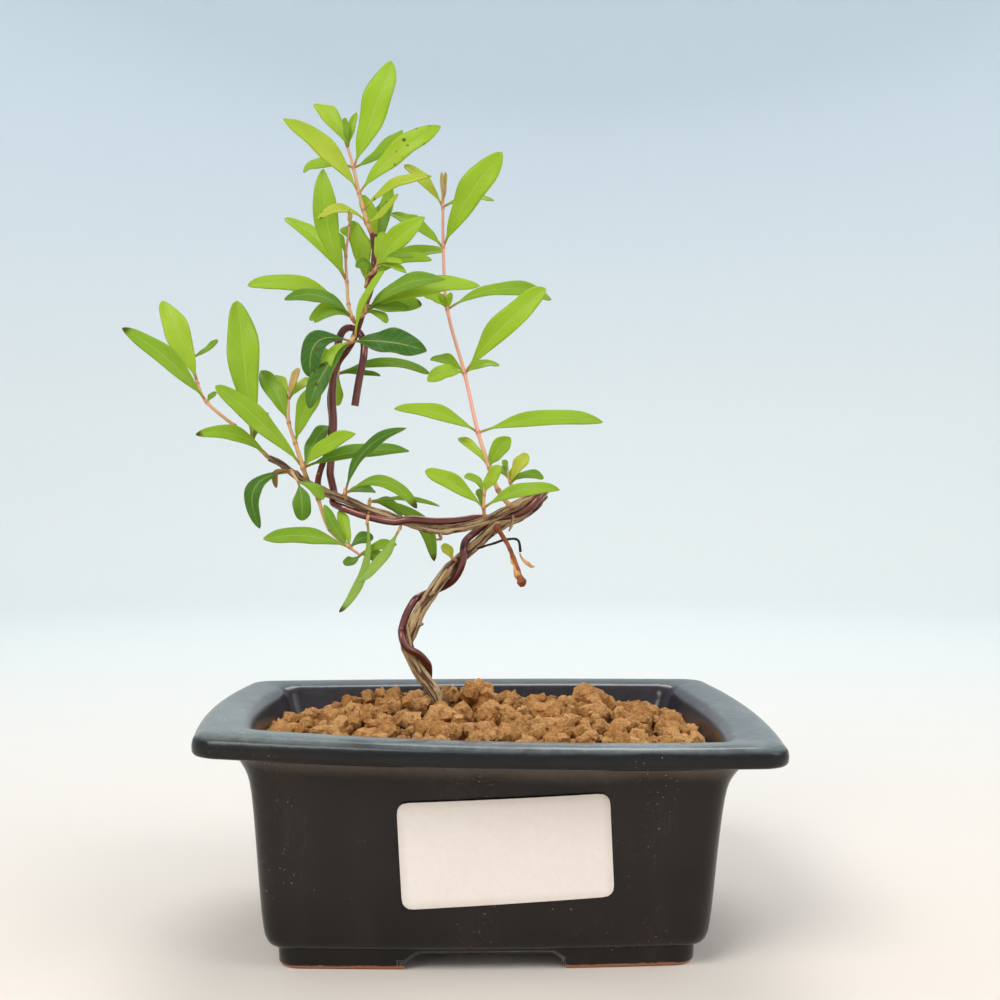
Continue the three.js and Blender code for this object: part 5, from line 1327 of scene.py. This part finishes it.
def leafMaterial():
    material, shade = startMaterial("leafBlade")
    space = objectSpace(shade)
    u, v, side = parts(attribute(shade, "blade"))
    tone, seed, _ = parts(attribute(shade, "tint"))
    spots, tipBrown, _ = parts(attribute(shade, "marks"))
    blotch = cloud(space, 130, 3, 0.6)
    fine = cloud(space, 900, 2, 0.65)
    shown = tone + (blotch - 0.5) * 0.35 + (seed - 0.5) * 0.2
    colour = shown.above(0.0, 0.5).mixed(rgb(42, 92, 32), rgb(112, 154, 42))
    colour = shown.above(0.35, 0.95).mixed(colour, rgb(168, 202, 46))
    colour = shown.above(1.0, 1.3).mixed(colour, rgb(214, 214, 76))
    colour = tone.above(1.38, 1.48).mixed(colour, rgb(222, 178, 116))
    under = side.above(0.3, -0.3)
    colour = (under * 0.5).mixed(colour, rgb(164, 192, 108))
    width = (1 - v) * 0.04 + 0.014
    rib = 1 - (u.size() - width).above(0, 0.045)
    veins = wave(v - u.size() * 0.16, 62).above(0.8, 1.0)
    colour = (veins * 0.14).mixed(colour, rgb(196, 214, 96))
    colour = (rib * 0.5).mixed(colour, rgb(206, 212, 116))
    edge = u.size().above(0.88, 1.0)
    colour = (edge * 0.25).mixed(colour, rgb(176, 172, 80))
    stalk = 1 - (v + (blotch - 0.5) * 0.05).above(0.04, 0.12)
    colour = (stalk * 0.75).mixed(colour, rgb(206, 118, 92))
    freckles = (1 - cells(space, 480).above(0.17, 0.24)) * blotch.above(0.42, 0.5)
    burnt = (v + (blotch - 0.5) * 0.12).above(0.9, 0.97)
    marked = freckles * spots + burnt * tipBrown
    dry = tone.above(-0.4, -0.8)
    colour = marked.mixed(colour, rgb(84, 50, 26))
    colour = dry.mixed(colour, rgb(150, 98, 56))
    rough = fine * 0.14 + 0.36 + under * 0.2 + marked * 0.3 + dry * 0.3
    relief = bumped(veins * -0.5 + fine * 0.4 - rib * 1.4, 0.00016, 0.55)
    glow = (0.34, rgb(176, 214, 34))
    return coat(shade, {"Base Color": colour, "Roughness": rough, "Normal": relief,
                        "Specular IOR Level": 0.34}, material, glow)


def stemMaterial():
    material, shade = startMaterial("youngStem")
    rod = attribute(shade, "rod")
    length = parts(rod)[2]
    joint = parts(attribute(shade, "tint"))[0]
    ridges = cloud(stretched(rod, (2.4, 2.4, 0.12)), 2, 3, 0.6)
    colour = ridges.above(0.35, 0.7).mixed(rgb(234, 174, 152), rgb(226, 156, 138))
    colour = (1 - length.above(8, 28)).mixed(colour, rgb(206, 164, 112))
    colour = (1 - length.above(0.5, 2.5)).mixed(colour, rgb(168, 122, 78))
    colour = (joint.above(1.12, 1.34) * 0.6).mixed(colour, rgb(164, 100, 76))
    relief = bumped(ridges, 0.0002, 0.5)
    return coat(shade, {"Base Color": colour, "Roughness": ridges * 0.2 + 0.4, "Normal": relief,
                        "Specular IOR Level": 0.35}, material)


leafBlade = leafMaterial()
youngStem = stemMaterial()
for name, shoot in shoots.items():
    makeShoot(name, shoot, [youngStem, leafBlade])
print("shoots made:", len(shoots))


# withered leaf under the loop
withered = {
    "seed": 3, "stalkSides": 10, "stalkSteps": 60, "twigSides": 8, "twigSteps": 40,
    "shrunk": 0.35,
    # push of the crumpled blades, its pace, and where in the noise each axis reads it
    "crumple": 0.7, "crumplePace": 420, "crumpleShifts": (0, 31, 67),
    "stalk": [
        (3.6, 1.4, 96.6, 0.9), (4.4, -0.8, 95.2, 0.65), (6.1, -1.5, 92.5, 0.5), (7.4, -1.5, 89.8, 0.55),
        (8.4, -2, 87, 0.5), (9, -2, 84.8, 0.75), (9.6, -2, 83.2, 1.25), (9.8, -2, 82, 0.5),
    ],
    "twig": [
        (-1.2, 1.4, 91.2, 0.3), (3, -0.8, 92.6, 0.28), (5.8, -1.3, 93.5, 0.36), (8.7, -1, 93.4, 0.28),
        (9.4, -1, 90.4, 0.35),
    ],
    "blades": [                                # where each springs from, and the blade
        ((7, -1.5, 90.5), leaf(9.7, -2.6, 83.2, 1.5, -0.6, 70, 0, 0.5, 2)),
        ((9.2, -1, 90), leaf(13.2, -1.6, 87.4, 1, -0.9, 60, 0, 0.3, 1)),
    ],
}


def shrunken(turn, length):
    around = Vector((math.cos(turn), math.sin(turn), length * 0.5))
    return 1 + withered["shrunk"] * noise.noise(around)


def crumpled(point):                           # how far the drying has pushed this point
    pushes = [noise.noise(point * withered["crumplePace"] + Vector((0, 0, shift)))
              for shift in withered["crumpleShifts"]]
    return Vector(pushes) * withered["crumple"] * mm


def makeWithered(materials):
    draw = random.Random(withered["seed"])
    work = startWork()
    growRod(work, withered["stalk"], withered["stalkSides"], withered["stalkSteps"], shrunken)
    growRod(work, withered["twig"], withered["twigSides"], withered["twigSteps"], shrunken, 2)
    faces = addBlades(work, withered["blades"], draw)
    for vert in each(face.verts for face in faces):
        vert.co += crumpled(vert.co)
    thickenBlades(work, faces)
    bmesh.ops.recalc_face_normals(work, faces=work.faces)
    return finishPiece("withered_leaf_fine", work, materials, ["withered_leaf"])


def driedMaterial(name, pale, mid, dark):
    material, shade = startMaterial(name)
    space = objectSpace(shade)
    patches = cloud(space, 240, 3, 0.65)
    fibres = cloud(stretched(space, (1, 1, 0.25)), 900, 3, 0.7)
    colour = patches.above(0.3, 0.55).mixed(dark, mid)
    colour = (patches.above(0.56, 0.75)).mixed(colour, pale)
    colour = (fibres.above(0.5, 0.8) * 0.4).mixed(colour, dark)
    return coat(shade, {"Base Color": colour, "Roughness": fibres * 0.2 + 0.62,
                        "Normal": bumped(fibres + patches, 0.0004, 0.7)}, material)


driedStalk = driedMaterial("driedStalk", rgb(196, 120, 60), rgb(150, 82, 40), rgb(74, 36, 20))
driedBlade = driedMaterial("driedBlade", rgb(236, 200, 146), rgb(214, 164, 108), rgb(150, 96, 58))
blackTwig = driedMaterial("blackTwig", rgb(70, 54, 44), rgb(40, 30, 26), rgb(20, 16, 15))
makeWithered([driedStalk, driedBlade, blackTwig])
print("withered leaf made")


# meshes over the drain holes keep their own shape and take a finish
def plasticMaterial():
    material, shade = startMaterial("drainPlastic")
    space = objectSpace(shade)
    dust = cloud(space, 300, 5, 0.6)
    moulded = cloud(space, 1800, 3, 0.5)
    colour = dust.above(0.45, 0.75).mixed(rgb(24, 24, 25), rgb(92, 74, 58))
    return coat(shade, {"Base Color": colour, "Roughness": dust * 0.3 + 0.45,
                        "Normal": bumped(moulded, 0.0001, 0.4)}, material)


drainPlastic = plasticMaterial()
for name in ("drain_mesh_left", "drain_mesh_right"):
    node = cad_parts[name]
    if not node.material_slots:
        node.data.materials.append(drainPlastic)
    for materialSlot in node.material_slots:
        materialSlot.material = drainPlastic


# floor, light and camera
studio = {
    "floorRadius": 0.9, "wallHeight": 1.9, "bend": 0.5, "bendSteps": 16, "turns": 96,
    # place, size, power and colour of each soft light; all look at the plant
    "lights": [
        ((-0.55, -0.8, 1.1), 0.7, 11, (1.0, 0.97, 0.92)),
        ((0.85, -0.5, 0.8), 0.8, 4.5, (1.0, 0.98, 0.95)),
        ((0.1, 0.8, 1.1), 0.7, 6.5, (1.0, 1.0, 1.0)),
    ],
    "target": (0.0, 0.0, 0.09),
    "air": (0.97, 0.97, 1, 1), "airStrength": 0.55,
    "cameraPlace": (-6, -315, 106), "cameraYaw": 0.033, "cameraPitch": -0.009,
    "lens": 46.24, "sensor": 36, "nearest": 0.01,
}


def makeFloor():
    work = bmesh.new()
    floorRadius, bend = studio["floorRadius"], studio["bend"]
    points = [Vector((0, 0, 0)), Vector((floorRadius, 0, 0))]
    for step in range(1, studio["bendSteps"] + 1):
        turn = math.pi / 2 * step / studio["bendSteps"]
        points.append(Vector((floorRadius + bend * math.sin(turn), 0, bend * (1 - math.cos(turn)))))
    points.append(Vector((floorRadius + bend, 0, studio["wallHeight"])))
    verts = [work.verts.new(point) for point in points]
    edges = [work.edges.new(pair) for pair in zip(verts, verts[1:])]
    bmesh.ops.spin(work, geom=verts + edges, cent=(0, 0, 0), axis=(0, 0, 1), angle=2 * math.pi,
                   steps=studio["turns"], use_merge=True)
    bmesh.ops.remove_doubles(work, verts=work.verts, dist=1e-5)
    bmesh.ops.recalc_face_normals(work, faces=work.faces)
    bmesh.ops.reverse_faces(work, faces=work.faces)
    mesh = bpy.data.meshes.new("floor")
    for face in work.faces:
        face.smooth = True
    work.to_mesh(mesh)
    work.free()
    floor = bpy.data.objects.new("floor", mesh)
    scene.collection.objects.link(floor)
    material, shade = startMaterial("paleFloor")
    _, y, height = parts(objectSpace(shade))
    colour = y.above(-0.12, 0.6).mixed(rgb(226, 216, 206), rgb(220, 224, 222))
    colour = height.above(0.0, 0.7).mixed(colour, rgb(208, 221, 231))
    mesh.materials.append(coat(shade, {"Base Color": colour, "Roughness": 0.9}, material))


def makeLights():
    for where, size, power, colour in studio["lights"]:
        light = bpy.data.lights.new("softLight", "AREA")
        light.shape, light.size, light.energy, light.color = "DISK", size, power, colour
        lamp = bpy.data.objects.new("softLight", light)
        lamp.location = where
        aim = Vector(studio["target"]) - Vector(where)
        lamp.rotation_euler = aim.to_track_quat("-Z", "Y").to_euler()
        scene.collection.objects.link(lamp)
    world = bpy.data.worlds.new("studio")
    world.use_nodes = True
    background = world.node_tree.nodes["Background"]
    background.inputs["Color"].default_value = studio["air"]
    background.inputs["Strength"].default_value = studio["airStrength"]
    scene.world = world


def makeCamera():
    camera = bpy.data.cameras.new("camera")
    camera.lens, camera.sensor_width = studio["lens"], studio["sensor"]
    camera.clip_start = studio["nearest"]
    eye = bpy.data.objects.new("camera", camera)
    eye.location = place(*studio["cameraPlace"])
    eye.rotation_euler = (math.pi / 2 + studio["cameraPitch"], 0, -studio["cameraYaw"])
    scene.collection.objects.link(eye)
    scene.camera = eye


makeFloor()
makeLights()
makeCamera()
scene.view_settings.view_transform = "Standard"
print("studio made")
